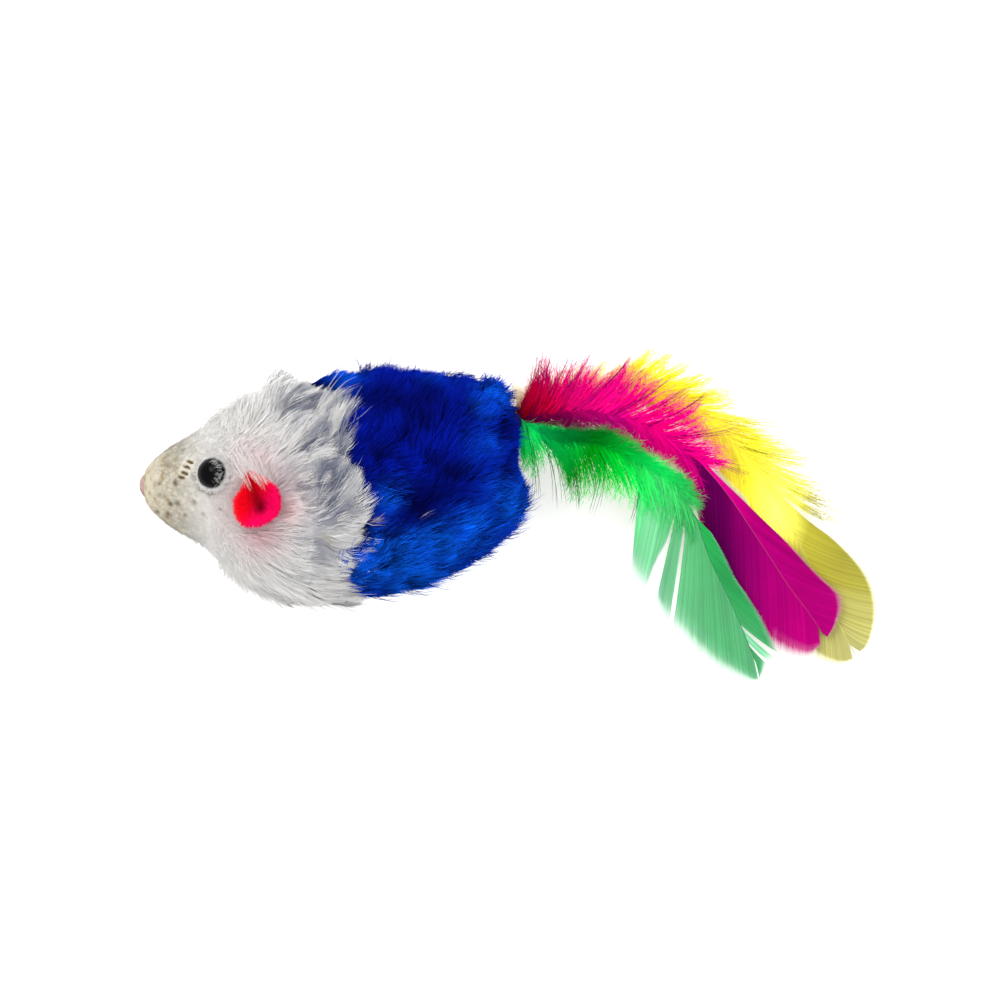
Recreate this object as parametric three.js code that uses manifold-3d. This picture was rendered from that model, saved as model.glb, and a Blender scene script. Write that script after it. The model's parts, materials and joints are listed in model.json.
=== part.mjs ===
// A small stuffed mouse for a cat, lying on its left flank, with a rattle inside and a tail of feathers.
// Millimetres. +X runs from the nose to the tail, +Y from the back to the belly, +Z up from the table.
import * as THREE from 'three';
import { mergeVertices } from 'three/addons/utils/BufferGeometryUtils.js';
import Module from 'manifold-3d';

const wasm = await Module();
wasm.setup();

// Fits shared by all pieces
const fitGap = 0.3;
const restFlatDepth = 0.5;

// Stuffed body, measured on the cloth without its pile
const bodyLength = 59;
const bodyHeight = 34;
const bodyDepth = 33;
const coverWall = 1.2;
const bodySteps = 30;
const bodySides = 24;
const innerSteps = 18;
const innerSides = 16;

// The belly edge and the back edge of the body, as shares of its length and height, nose to rump,
// and how deep the body is at each of their points, as shares of its depth
const bellyEdgeShares = [
  [0, 0.01], [0.004, 0.057], [0.024, 0.099], [0.079, 0.179], [0.155, 0.269], [0.242, 0.373],
  [0.351, 0.448], [0.486, 0.486], [0.671, 0.5], [0.834, 0.505], [0.943, 0.458], [0.986, 0.34],
  [1, 0.184],
];
const backEdgeShares = [
  [0, 0.01], [0.004, -0.04], [0.024, -0.09], [0.079, -0.175], [0.166, -0.274], [0.264, -0.429],
  [0.427, -0.505], [0.633, -0.486], [0.78, -0.392], [0.916, -0.264], [0.986, -0.132], [1.003, 0.033],
  [1, 0.184],
];
const depthShares = [0, 0.1, 0.18, 0.31, 0.45, 0.58, 0.71, 1, 0.985, 0.86, 0.63, 0.39, 0];
const waistShare = 7 / 12;

// Seams
const threadRadius = 0.3;
const waistStitchLength = 5.4;
const edgeStitchLength = 2.2;
const stitchSteps = 4;
const threadSides = 5;
const stitchSwing = 0.22;
const headSeamShares = [0.358, 0.56];
const rearSeamShares = [0.606, 0.817];

// Eyes and ears, and where they sit: share of the way from nose to rump, and angle from the belly
const eyeRadius = 2.2;
const eyeHeight = 2;
const eyeAlongShare = 0.364;
const eyeAngle = 1.33;
const earLength = 9.8;
const earWidth = 8;
const earDepth = 1.2;
const earCurl = 0.5;
const earWall = 0.7;
const earNeckRadius = 0.6;
const earNeckHeight = 0.2;
const earAlongShare = 0.462;
const earAngle = 1.614;
const glueThickness = 0.3;
const eyeGlueRadius = 1.6;
const earGlueRadius = 1.9;
const roundSteps = 16;

// Nose
const noseRadius = 1.6;
const noseHeight = 0.8;

// Rattle
const capsuleRadius = 8;
const capsuleLength = 26;
const capsuleWall = 1.4;
const capsuleLip = 2.5;
const capsulePlaceShares = [0.6, -0.015];
const beadRadius = 1.6;
const beadLaneAngle = 0.85;
const beadStartShares = [-0.35, 0, 0.35];

// Tail root
const tailAlongShare = 0.936;
const tailStandOff = 0.2;
const bindingWall = 0.7;
const glueDepth = 2.6;
const feathersSwing = 12;

// Feathers
const quillRadius = 0.45;
const quillTipRadius = 0.16;
const quillSteps = 18;
const quillSides = 6;
const vaneThickness = 0.4;
const downThickness = 2.4;
const downSteps = 13;
const downSides = 12;
const layerGap = 0.4;
const spreadRun = 6;
const tipClearance = 2;
const tailDropPower = 1.6;
const greenLength = 59;
const magentaLength = 66.5;
const yellowLength = 79;
const tailReachShare = 0.86;
const vaneSteps = 3;
const edgeStepsPerPoint = 2;

// Each feather: its place in the stack, its quill's line, its vane's edge from the near side round the
// tip and back, and its down, all as shares of its length from the root
const featherPlans = [
  {
    name: 'green',
    layer: 1,
    length: greenLength,
    color: 0x2fa765,
    downColor: 0x1aa04a,
    quillColor: 0x1f8f4d,
    spineShares: [
      [0.084, -0.019], [0.206, -0.046], [0.342, -0.1], [0.423, -0.155], [0.466, -0.209],
      [0.496, -0.266], [0.529, -0.361], [0.594, -0.496], [0.659, -0.648],
    ],
    edgeShares: [
      [0.418, -0.222], [0.355, -0.29], [0.323, -0.372], [0.32, -0.426], [0.342, -0.453],
      [0.412, -0.339], [0.385, -0.431], [0.385, -0.502], [0.428, -0.567], [0.504, -0.635],
      [0.591, -0.673], [0.662, -0.689], [0.689, -0.648], [0.711, -0.602], [0.645, -0.502],
      [0.564, -0.393], [0.526, -0.304], [0.507, -0.236],
    ],
    tipEdgePoint: 11,
    vaneStartShare: 0.535,
    downAlongShares: [0.16, 0.3, 0.42, 0.49, 0.52],
    downBellyShares: [0.038, 0.06, 0.06, 0.045, 0],
    downBackShares: [0.149, 0.157, 0.114, 0.06, 0],
  },
  {
    name: 'magenta',
    layer: 0,
    length: magentaLength,
    color: 0xc4157a,
    downColor: 0xc81060,
    quillColor: 0x9c1060,
    spineShares: [
      [0.111, 0.029], [0.255, 0.017], [0.375, -0.036], [0.484, -0.132], [0.602, -0.298],
      [0.662, -0.39], [0.707, -0.45], [0.751, -0.512],
    ],
    edgeShares: [
      [0.448, -0.185], [0.462, -0.26], [0.481, -0.344], [0.556, -0.445], [0.618, -0.515],
      [0.688, -0.529], [0.758, -0.517], [0.792, -0.45], [0.789, -0.411], [0.743, -0.361],
      [0.676, -0.286], [0.592, -0.219], [0.529, -0.159], [0.5, -0.113],
    ],
    tipEdgePoint: 6,
    vaneStartShare: 0.56,
    downAlongShares: [0.13, 0.26, 0.4, 0.51, 0.545],
    downBellyShares: [0.12, 0.12, 0.106, 0.06, 0],
    downBackShares: [0.048, 0.034, 0.058, 0.043, 0],
  },
  {
    name: 'yellow',
    layer: -1,
    length: yellowLength,
    color: 0xd8cc30,
    downColor: 0xf0d848,
    quillColor: 0xb8a830,
    spineShares: [
      [0.093, 0.053], [0.215, 0.071], [0.336, 0.047], [0.448, -0.034], [0.539, -0.166],
      [0.604, -0.288], [0.648, -0.381], [0.703, -0.47],
    ],
    edgeShares: [
      [0.468, -0.156], [0.488, -0.257], [0.549, -0.369], [0.61, -0.45], [0.65, -0.484],
      [0.693, -0.476], [0.721, -0.452], [0.741, -0.385], [0.737, -0.352], [0.721, -0.304],
      [0.693, -0.269], [0.626, -0.223], [0.553, -0.156],
    ],
    tipEdgePoint: 5,
    vaneStartShare: 0.61,
    downAlongShares: [0.15, 0.3, 0.44, 0.56, 0.595],
    downBellyShares: [0.045, 0.069, 0.089, 0.06, 0],
    downBackShares: [0.028, 0.04, 0.049, 0.036, 0],
  },
];

const finishes = {
  whitePlush: { color: 0xe4e2e0, roughness: 0.95, metalness: 0 },
  bluePlush: { color: 0x0a1f9c, roughness: 0.95, metalness: 0 },
  earPlush: { color: 0xe8103c, roughness: 0.95, metalness: 0 },
  nosePlush: { color: 0xe39a98, roughness: 0.9, metalness: 0 },
  eyeGloss: { color: 0x060608, roughness: 0.08, metalness: 0 },
  glue: { color: 0xd9cfae, roughness: 0.35, metalness: 0 },
  thread: { color: 0xd8d4cc, roughness: 0.8, metalness: 0 },
  wadding: { color: 0xf2f0ea, roughness: 1, metalness: 0 },
  capsule: { color: 0xdfe6ea, roughness: 0.4, metalness: 0 },
  bead: { color: 0x8c8f92, roughness: 0.35, metalness: 0 },
  feather: { roughness: 0.7, metalness: 0 },
};

// A closed body from points and triangles, with its faces turned outwards
function closedBody(points, triangles) {
  let volume = 0;
  for (const [a, b, c] of triangles) {
    volume += points[a].dot(points[b].clone().cross(points[c]));
  }
  const turned = volume < 0 ? triangles.map(([a, b, c]) => [a, c, b]) : triangles;
  const geometry = new THREE.BufferGeometry().setFromPoints(points);
  geometry.setIndex(turned.flat());
  return geometry;
}

// Rings of equal count joined in a row, closed by a point at each end
function loft(rings, startPoint, endPoint) {
  const sides = rings[0].length;
  const points = [...rings.flat(), startPoint, endPoint];
  const start = points.length - 2;
  const end = points.length - 1;
  const triangles = [];
  for (let side = 0; side < sides; side += 1) {
    const next = (side + 1) % sides;
    const last = (rings.length - 1) * sides;
    triangles.push([start, next, side], [end, last + side, last + next]);
    for (let row = 0; row < rings.length - 1; row += 1) {
      const near = row * sides;
      const far = near + sides;
      triangles.push([near + side, near + next, far + next], [near + side, far + next, far + side]);
    }
  }
  return closedBody(points, triangles);
}

// Rings joined in a closed circle
function closedLoft(rings) {
  const sides = rings[0].length;
  const triangles = [];
  for (let row = 0; row < rings.length; row += 1) {
    for (let side = 0; side < sides; side += 1) {
      const next = (side + 1) % sides;
      const near = row * sides;
      const far = ((row + 1) % rings.length) * sides;
      triangles.push([near + side, near + next, far + next], [near + side, far + next, far + side]);
    }
  }
  return closedBody(rings.flat(), triangles);
}

// Rings of a round thread about the points of a path
function threadRings(path, radius, sides, closed) {
  const count = path.length;
  return path.map((point, i) => {
    const before = path[closed ? (i + count - 1) % count : Math.max(i - 1, 0)];
    const after = path[closed ? (i + 1) % count : Math.min(i + 1, count - 1)];
    const along = after.clone().sub(before).normalize();
    const across = new THREE.Vector3().crossVectors(along, new THREE.Vector3(1, 0, 1)).normalize();
    const up = new THREE.Vector3().crossVectors(along, across);
    return Array.from({ length: sides }, (_, side) => {
      const angle = (side / sides) * Math.PI * 2;
      return point.clone()
        .addScaledVector(across, Math.cos(angle) * radius)
        .addScaledVector(up, Math.sin(angle) * radius);
    });
  });
}

function toSolid(geometry) {
  const bare = geometry.clone();
  bare.deleteAttribute('normal');
  bare.deleteAttribute('uv');
  const merged = mergeVertices(bare);
  return new wasm.Manifold(new wasm.Mesh({
    numProp: 3,
    vertProperties: new Float32Array(merged.attributes.position.array),
    triVerts: new Uint32Array(merged.index.array),
  }));
}

function toGeometry(solid) {
  const mesh = solid.getMesh();
  const geometry = new THREE.BufferGeometry();
  geometry.setAttribute('position', new THREE.BufferAttribute(mesh.vertProperties, 3));
  geometry.setIndex(new THREE.BufferAttribute(mesh.triVerts, 1));
  return geometry;
}

// What remains of a solid when a cut leaves slivers beside it
function largestBody(solid) {
  return solid.decompose().reduce((best, body) => (body.volume() > best.volume() ? body : best));
}

function ball(center, radius) {
  const geometry = new THREE.SphereGeometry(radius, roundSteps, roundSteps * 0.75);
  return toSolid(geometry.translate(center.x, center.y, center.z));
}

// Turned pieces are drawn about Y and laid with their axis along Z
function turned(profile, steps) {
  const geometry = new THREE.LatheGeometry(profile.map(([r, y]) => new THREE.Vector2(r, y)), steps);
  return geometry.rotateX(Math.PI / 2);
}

// The same piece on the other flank
function mirrored(geometry) {
  const points = [];
  const position = geometry.attributes.position;
  for (let i = 0; i < position.count; i += 1) {
    points.push(new THREE.Vector3(position.getX(i), position.getY(i), -position.getZ(i)));
  }
  const order = geometry.index ? [...geometry.index.array] : points.map((_, i) => i);
  const triangles = [];
  for (let i = 0; i < order.length; i += 3) triangles.push(order.slice(i, i + 3));
  return closedBody(points, triangles);
}

// Body surface
function edgeCurve(edgeShares) {
  return new THREE.CatmullRomCurve3(edgeShares.map(([along, across], i) => new THREE.Vector3(
    along * bodyLength, across * bodyHeight, (depthShares[i] * bodyDepth) / 2,
  )), false, 'centripetal');
}
const bellyEdge = edgeCurve(bellyEdgeShares);
const backEdge = edgeCurve(backEdgeShares);

// A point of the cloth: an ellipse between the belly edge and the back edge, zero angle at the belly
function clothPoint(along, angle) {
  const belly = bellyEdge.getPoint(along);
  const back = backEdge.getPoint(along);
  const middle = belly.clone().add(back).multiplyScalar(0.5);
  const reach = belly.clone().sub(back).multiplyScalar(0.5);
  return new THREE.Vector3(
    middle.x + reach.x * Math.cos(angle),
    middle.y + reach.y * Math.cos(angle),
    middle.z * Math.sin(angle),
  );
}

function clothNormal(along, angle) {
  const stepShare = 0.002;
  const from = Math.max(along - stepShare, 0);
  const to = Math.min(along + stepShare, 1);
  const forward = clothPoint(to, angle).sub(clothPoint(from, angle));
  const around = clothPoint(along, angle + stepShare).sub(clothPoint(along, angle - stepShare));
  return around.cross(forward).normalize();
}

// The body's skin, or the same skin moved inwards
function bodySkin(inset, steps, sides) {
  const rings = [];
  for (let step = 1; step < steps; step += 1) {
    rings.push(Array.from({ length: sides }, (_, side) => {
      const angle = (side / sides) * Math.PI * 2;
      const along = step / steps;
      return clothPoint(along, angle).addScaledVector(clothNormal(along, angle), -inset);
    }));
  }
  const nose = clothPoint(0, 0).add(new THREE.Vector3(inset, 0, 0));
  const rump = clothPoint(1, 0).sub(new THREE.Vector3(inset, 0, 0));
  return toSolid(loft(rings, nose, rump));
}

const outerSkin = bodySkin(0, bodySteps, bodySides);
const clothInside = bodySkin(coverWall, innerSteps, innerSides);
const stuffingSkin = bodySkin(coverWall + fitGap, innerSteps, innerSides);
const cover = outerSkin.subtract(clothInside);

// Cutting blocks: before and behind the waist, and above the table
const blockSize = (bodyLength + bodyHeight + bodyDepth) * 2;
const waistBelly = clothPoint(waistShare, 0);
const waistBack = clothPoint(waistShare, Math.PI);
const waistMiddle = waistBelly.clone().add(waistBack).multiplyScalar(0.5);
const waistLean = Math.atan2(waistBack.x - waistBelly.x, waistBelly.y - waistBack.y);
const waistAxis = new THREE.Vector3(Math.cos(waistLean), Math.sin(waistLean), 0);
const waistHalfGap = threadRadius + fitGap;

function waistBlock(direction) {
  const center = waistMiddle.clone().addScaledVector(waistAxis, direction * (waistHalfGap + blockSize / 2));
  const block = new THREE.BoxGeometry(blockSize, blockSize, blockSize).rotateZ(waistLean);
  return toSolid(block.translate(center.x, center.y, center.z));
}
const frontBlock = waistBlock(-1);
const rearBlock = waistBlock(1);
const tableHeight = outerSkin.boundingBox().min[2] + restFlatDepth;
const aboveTable = toSolid(
  new THREE.BoxGeometry(blockSize, blockSize, blockSize).translate(0, 0, tableHeight + blockSize / 2),
);

// Tail root, a little outside the cloth at the belly side of the rump
const tailRoot = clothPoint(tailAlongShare, 0)
  .addScaledVector(clothNormal(tailAlongShare, 0), tailStandOff);
const rootPitch = 2 * quillRadius + fitGap;
const slotHalfHeight = rootPitch + quillRadius + fitGap;
const bindingRadius = slotHalfHeight + bindingWall;
const glueRadius = bindingRadius + fitGap + glueDepth;

// Rattle capsule
const capsuleCenter = new THREE.Vector3(
  capsulePlaceShares[0] * bodyLength, capsulePlaceShares[1] * bodyHeight, 0,
);
const capsuleStraight = capsuleLength / 2 - capsuleRadius;
const capsuleInside = capsuleRadius - capsuleWall;

function arc(radius, from, to, rise) {
  const steps = roundSteps / 4;
  return Array.from({ length: steps + 1 }, (_, i) => {
    const angle = from + ((to - from) * i) / steps;
    return [Math.max(radius * Math.cos(angle), 0), rise + radius * Math.sin(angle)];
  });
}

function capsuleSolid(radius, straight) {
  const profile = [
    ...arc(radius, -Math.PI / 2, 0, -straight),
    ...arc(radius, 0, Math.PI / 2, straight),
  ];
  const geometry = turned(profile, roundSteps).rotateY(Math.PI / 2);
  return toSolid(geometry.translate(capsuleCenter.x, capsuleCenter.y, capsuleCenter.z));
}

// One half of the capsule: the front half carries the lip, the rear half the socket round it
function capsuleHalf(hasLip) {
  const side = hasLip ? -1 : 1;
  const lipOuter = capsuleRadius - capsuleWall / 2 - fitGap / 2;
  const stepRadius = hasLip ? lipOuter : lipOuter + fitGap;
  const stepRise = hasLip ? capsuleLip : capsuleLip + fitGap;
  const quarter = arc(1, -Math.PI / 2, 0, 0);
  const profile = [
    ...quarter.map(([r, y]) => [r * capsuleRadius, side * (capsuleStraight - y * capsuleRadius)]),
    [capsuleRadius, (side * fitGap) / 2],
    [stepRadius, (side * fitGap) / 2],
    [stepRadius, stepRise],
    [capsuleInside, stepRise],
    ...[...quarter].reverse().map(([r, y]) => [
      r * capsuleInside, side * (capsuleStraight - y * capsuleInside),
    ]),
  ];
  return turned(hasLip ? profile : profile.reverse(), roundSteps).rotateY(Math.PI / 2);
}

// The steps of a thread along a seam: whole stitches of about the given length
function threadSteps(seamLength, stitchLength) {
  return Math.max(Math.round(seamLength / stitchLength), 1) * stitchSteps;
}

// A running stitch: a thread along a path on the body, swinging from side to side
function edgeThread([from, to]) {
  const count = threadSteps(clothPoint(from, 0).distanceTo(clothPoint(to, 0)), edgeStitchLength);
  const path = Array.from({ length: count + 1 }, (_, i) => {
    const along = from + ((to - from) * i) / count;
    const point = clothPoint(along, 0);
    point.addScaledVector(clothNormal(along, 0), fitGap + threadRadius);
    point.z += stitchSwing * Math.sin((i / stitchSteps) * Math.PI * 2);
    return point;
  });
  return loft(threadRings(path, threadRadius, threadSides, false), path[0], path[count]);
}

// The waist thread runs round in the gap between the two covers, inside the thickness of the cloth
function waistThread() {
  const count = threadSteps(Math.PI * waistBelly.distanceTo(waistBack), waistStitchLength);
  const path = Array.from({ length: count }, (_, i) => {
    const angle = (i / count) * Math.PI * 2;
    const inset = coverWall / 2 + stitchSwing * Math.sin((i / stitchSteps) * Math.PI * 2);
    const point = clothPoint(waistShare, angle);
    const outwards = point.clone().sub(waistMiddle).normalize();
    return point.addScaledVector(outwards, -inset);
  });
  const ring = closedLoft(threadRings(path, threadRadius, threadSides, true));
  return toGeometry(toSolid(ring).intersect(aboveTable));
}

// Where a piece sits on the cloth, and which way it faces
function clothSeat(along, angle, rise) {
  const normal = clothNormal(along, angle);
  return { point: clothPoint(along, angle).addScaledVector(normal, rise), normal };
}

function faceAlong(geometry, normal) {
  const turn = new THREE.Quaternion().setFromUnitVectors(new THREE.Vector3(0, 0, 1), normal);
  return geometry.applyQuaternion(turn);
}

function eyeShape() {
  const dome = arc(1, 0, Math.PI / 2, 0).map(([r, y]) => [r * eyeRadius, y * eyeHeight]);
  return turned([[0, 0], ...dome], roundSteps);
}

function gluePad(radius) {
  return new THREE.CylinderGeometry(radius, radius, glueThickness, roundSteps).rotateX(Math.PI / 2);
}

// An ear: a narrow round neck that opens into a shallow cup, curled up on both sides of its middle
function earShape() {
  const half = earLength / 2;
  const neckEnd = arc(earNeckRadius, -Math.PI / 2, 0, 0);
  const flareShares = [0.25, 0.5, 0.75, 1];
  const outside = flareShares.map((share) => [
    earNeckRadius + (half - earNeckRadius) * share,
    earNeckHeight + earDepth * share * share,
  ]);
  const inside = flareShares.map((share) => [
    (half - earWall) * share,
    earNeckHeight + earWall + earDepth * share * share,
  ]).reverse();
  const profile = [...neckEnd, ...outside, ...inside, [0, earNeckHeight + earWall]];
  const geometry = turned(profile, roundSteps);
  const position = geometry.attributes.position;
  for (let i = 0; i < position.count; i += 1) {
    const share = position.getX(i) / half;
    position.setXYZ(
      i, position.getX(i) * (earWidth / earLength), position.getY(i),
      position.getZ(i) + earCurl * share * share,
    );
  }
  return geometry;
}

// How far apart the feathers' layers lie at a distance from the root, and how far they droop there
function smooth(share) {
  const held = Math.min(Math.max(share, 0), 1);
  return held * held * (3 - 2 * held);
}
const downPitch = downThickness + layerGap;
const tailReach = yellowLength * tailReachShare;
const tailDrop = -tableHeight - rootPitch - tipClearance;

function layerPitch(distance) {
  const rise = smooth((distance - bindingRadius) / spreadRun);
  const fall = smooth((distance - tailReach / 2) / (tailReach / 4));
  return rootPitch + (downPitch - rootPitch) * rise * (1 - fall);
}

// Lifts a flat point of a feather onto its layer, a surface of revolution about the tail's root
function onLayer(point, layer, rise) {
  const distance = Math.hypot(point.x, point.y);
  const droop = tailDrop * (distance / tailReach) ** tailDropPower;
  return new THREE.Vector3(point.x, point.y, layer * layerPitch(distance) - droop + rise);
}

function spineOf(plan) {
  const points = [[0, 0], ...plan.spineShares].map(([x, y]) => new THREE.Vector3(
    x * plan.length, y * plan.length, 0,
  ));
  return new THREE.CatmullRomCurve3(points, false, 'centripetal');
}

function quillRadiusAt(share) {
  return quillRadius + (quillTipRadius - quillRadius) * share;
}

function acrossSpine(spine, share) {
  const along = spine.getTangentAt(share);
  return new THREE.Vector3(-along.y, along.x, 0);
}

function quillShape(plan, spine, clearance) {
  const rings = [];
  for (let step = 0; step <= quillSteps; step += 1) {
    const share = step / quillSteps;
    const center = spine.getPointAt(share);
    const across = acrossSpine(spine, share);
    const radius = quillRadiusAt(share) + clearance;
    rings.push(Array.from({ length: quillSides }, (_, side) => {
      const angle = (side / quillSides) * Math.PI * 2;
      const flat = center.clone().addScaledVector(across, Math.cos(angle) * radius);
      return onLayer(flat, plan.layer, Math.sin(angle) * radius);
    }));
  }
  const root = onLayer(spine.getPointAt(0), plan.layer, 0);
  const tip = onLayer(spine.getPointAt(1), plan.layer, 0);
  return loft(rings, root, tip);
}

// The down: a soft lens round the lower quill, thin enough to stay inside its layer
function downShape(plan, spine) {
  const start = (bindingRadius + layerGap) / plan.length;
  const stations = [start, ...plan.downAlongShares];
  const widthCurve = new THREE.CatmullRomCurve3(stations.map((along, i) => new THREE.Vector3(
    along,
    i === 0 ? 0 : plan.downBellyShares[i - 1],
    i === 0 ? 0 : plan.downBackShares[i - 1],
  )), false, 'centripetal');
  const rings = [];
  for (let step = 1; step < downSteps; step += 1) {
    const widths = widthCurve.getPoint(step / downSteps);
    const center = spine.getPointAt(widths.x);
    const across = acrossSpine(spine, widths.x);
    const fullness = Math.sqrt(Math.sin((step / downSteps) * Math.PI));
    rings.push(Array.from({ length: downSides }, (_, side) => {
      const angle = (side / downSides) * Math.PI * 2;
      const width = (Math.cos(angle) > 0 ? widths.y : widths.z) * plan.length;
      const flat = center.clone().addScaledVector(across, Math.cos(angle) * width);
      const thickness = layerPitch(Math.hypot(flat.x, flat.y)) - layerGap;
      return onLayer(flat, plan.layer, (Math.sin(angle) * thickness * fullness) / 2);
    }));
  }
  const first = onLayer(spine.getPointAt(start), plan.layer, 0);
  const last = onLayer(spine.getPointAt(stations[stations.length - 1]), plan.layer, 0);
  const tunnel = toSolid(quillShape(plan, spine, fitGap));
  return toGeometry(largestBody(toSolid(loft(rings, first, last)).subtract(tunnel)));
}

// The vane: one thin sheet that runs out along one side of the quill, round its tip and back
function vaneShape(plan, spine) {
  const edge = new THREE.CatmullRomCurve3(plan.edgeShares.map(([x, y]) => new THREE.Vector3(
    x * plan.length, y * plan.length, 0,
  )), false, 'centripetal');
  const rows = (plan.edgeShares.length - 1) * edgeStepsPerPoint;
  const tipRow = plan.tipEdgePoint * edgeStepsPerPoint;
  const beyondQuill = quillTipRadius + fitGap;
  const sections = [];
  for (let row = 0; row <= rows; row += 1) {
    const outer = edge.getPoint(row / rows);
    const back = row <= tipRow;
    const progress = back ? row / (tipRow - 1) : (rows - row) / (rows - tipRow - 1);
    const share = plan.vaneStartShare + (1 - plan.vaneStartShare) * Math.min(progress, 1);
    const inner = spine.getPointAt(share);
    if (row === tipRow) {
      inner.addScaledVector(spine.getTangentAt(1), beyondQuill);
    } else {
      const slit = (quillRadiusAt(share) + fitGap) * (back ? -1 : 1);
      inner.addScaledVector(acrossSpine(spine, share), slit);
    }
    const top = [];
    const bottom = [];
    for (let step = 0; step <= vaneSteps; step += 1) {
      const flat = inner.clone().lerp(outer, step / vaneSteps);
      top.push(onLayer(flat, plan.layer, vaneThickness / 2));
      bottom.push(onLayer(flat, plan.layer, -vaneThickness / 2));
    }
    sections.push([...top, ...bottom.reverse()]);
  }
  const middle = (section) => section.reduce((sum, point) => sum.add(point), new THREE.Vector3())
    .divideScalar(section.length);
  return loft(sections, middle(sections[0]), middle(sections[rows]));
}

// The binding: a ball of thread and glue, with a slot in which the bound quills can sway
function bindingShape(plans) {
  const reach = bindingRadius * 3;
  const room = quillRadius + fitGap;
  const swing = THREE.MathUtils.degToRad(feathersSwing);
  const headings = plans.map((plan) => {
    const early = spineOf(plan).getPointAt(bindingRadius / plan.length);
    return Math.atan2(early.y, early.x);
  });
  const low = Math.min(...headings) - swing;
  const high = Math.max(...headings) + swing;
  const beside = (angle, side) => new THREE.Vector2(-Math.sin(angle), Math.cos(angle))
    .multiplyScalar(side * room);
  const outwards = (angle) => new THREE.Vector2(Math.cos(angle), Math.sin(angle)).multiplyScalar(reach);
  const fan = new THREE.Shape();
  fan.moveTo(...beside(low, -1).toArray());
  fan.lineTo(...beside(low, -1).add(outwards(low)).toArray());
  fan.lineTo(...beside(high, 1).add(outwards(high)).toArray());
  fan.lineTo(...beside(high, 1).toArray());
  fan.absarc(0, 0, room, high + Math.PI / 2, low + Math.PI * 1.5, false);
  const slot = new THREE.ExtrudeGeometry(fan, {
    depth: slotHalfHeight * 2, bevelEnabled: false, curveSegments: roundSteps / 4,
  });
  return toGeometry(ball(new THREE.Vector3(), bindingRadius)
    .subtract(toSolid(slot.translate(0, 0, -slotHalfHeight))));
}

function piece(name, geometry, finish) {
  const mesh = new THREE.Mesh(geometry, new THREE.MeshStandardMaterial({ ...finish, name }));
  mesh.name = name;
  return mesh;
}

function covers(toy) {
  const tailHole = ball(tailRoot, bindingRadius + fitGap);
  const head = cover.intersect(frontBlock).intersect(aboveTable);
  const rear = cover.intersect(rearBlock).intersect(aboveTable).subtract(tailHole);
  toy.add(piece('head_cover', toGeometry(head), finishes.whitePlush));
  toy.add(piece('rear_cover', toGeometry(rear), finishes.bluePlush));
  toy.add(piece('waist_seam', waistThread(), finishes.thread));
  toy.add(piece('head_seam', edgeThread(headSeamShares), finishes.thread));
  toy.add(piece('rear_seam', edgeThread(rearSeamShares), finishes.thread));
}

function filling(toy) {
  const capsuleRoom = capsuleSolid(capsuleRadius + fitGap, capsuleStraight);
  const gluePlug = stuffingSkin.intersect(ball(tailRoot, glueRadius))
    .subtract(ball(tailRoot, bindingRadius + fitGap));
  const front = stuffingSkin.intersect(frontBlock).subtract(capsuleRoom);
  const rear = stuffingSkin.intersect(rearBlock).subtract(capsuleRoom)
    .subtract(ball(tailRoot, glueRadius + fitGap));
  toy.add(piece('stuffing_front', toGeometry(front), finishes.wadding));
  toy.add(piece('stuffing_rear', toGeometry(rear), finishes.wadding));
  toy.add(piece('tail_glue', toGeometry(gluePlug), finishes.glue));
}

function rattle(toy) {
  const capsule = new THREE.Group();
  capsule.name = 'capsule';
  capsule.position.copy(capsuleCenter);
  capsule.add(piece('capsule_front', capsuleHalf(true), finishes.capsule));
  capsule.add(piece('capsule_rear', capsuleHalf(false), finishes.capsule));
  const laneRadius = capsuleInside - beadRadius - fitGap;
  const middleLane = (beadStartShares.length - 1) / 2;
  beadStartShares.forEach((share, i) => {
    const angle = (i - middleLane) * beadLaneAngle;
    const bead = piece(
      `rattle_bead_${i + 1}`,
      new THREE.SphereGeometry(beadRadius, roundSteps * 0.75, roundSteps / 2), finishes.bead,
    );
    bead.position.set(
      share * capsuleStraight, laneRadius * Math.sin(angle), -laneRadius * Math.cos(angle),
    );
    capsule.add(bead);
  });
  toy.add(capsule);
}

// Eyes and ears come in pairs: the right ones face up, the left ones are their mirror images
function face(toy) {
  const eyeGlueSeat = clothSeat(eyeAlongShare, eyeAngle, fitGap + glueThickness / 2);
  const eyeSeat = clothSeat(eyeAlongShare, eyeAngle, fitGap * 2 + glueThickness);
  const earGlueSeat = clothSeat(earAlongShare, earAngle, fitGap + glueThickness / 2);
  const earSeat = clothSeat(earAlongShare, earAngle, fitGap * 2 + glueThickness + earNeckRadius);
  const pairs = [
    ['eye_glue', gluePad(eyeGlueRadius), eyeGlueSeat, finishes.glue],
    ['eye', eyeShape(), eyeSeat, finishes.eyeGloss],
    ['ear_glue', gluePad(earGlueRadius), earGlueSeat, finishes.glue],
    ['ear', earShape(), earSeat, finishes.earPlush],
  ];
  for (const [name, shape, seat, finish] of pairs) {
    const geometry = faceAlong(shape, seat.normal);
    const right = piece(`right_${name}`, geometry, finish);
    right.position.copy(seat.point);
    const left = piece(`left_${name}`, mirrored(geometry), finish);
    left.position.set(seat.point.x, seat.point.y, -seat.point.z);
    toy.add(right, left);
  }
  const noseProfile = arc(1, 0, Math.PI / 2, 0).map(([r, y]) => [r * noseRadius, y * noseHeight]);
  const nose = piece('nose', turned([[0, 0], ...noseProfile], roundSteps), finishes.nosePlush);
  nose.rotation.y = -Math.PI / 2;
  nose.position.copy(clothPoint(0, 0)).x -= fitGap;
  toy.add(nose);
}

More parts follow.
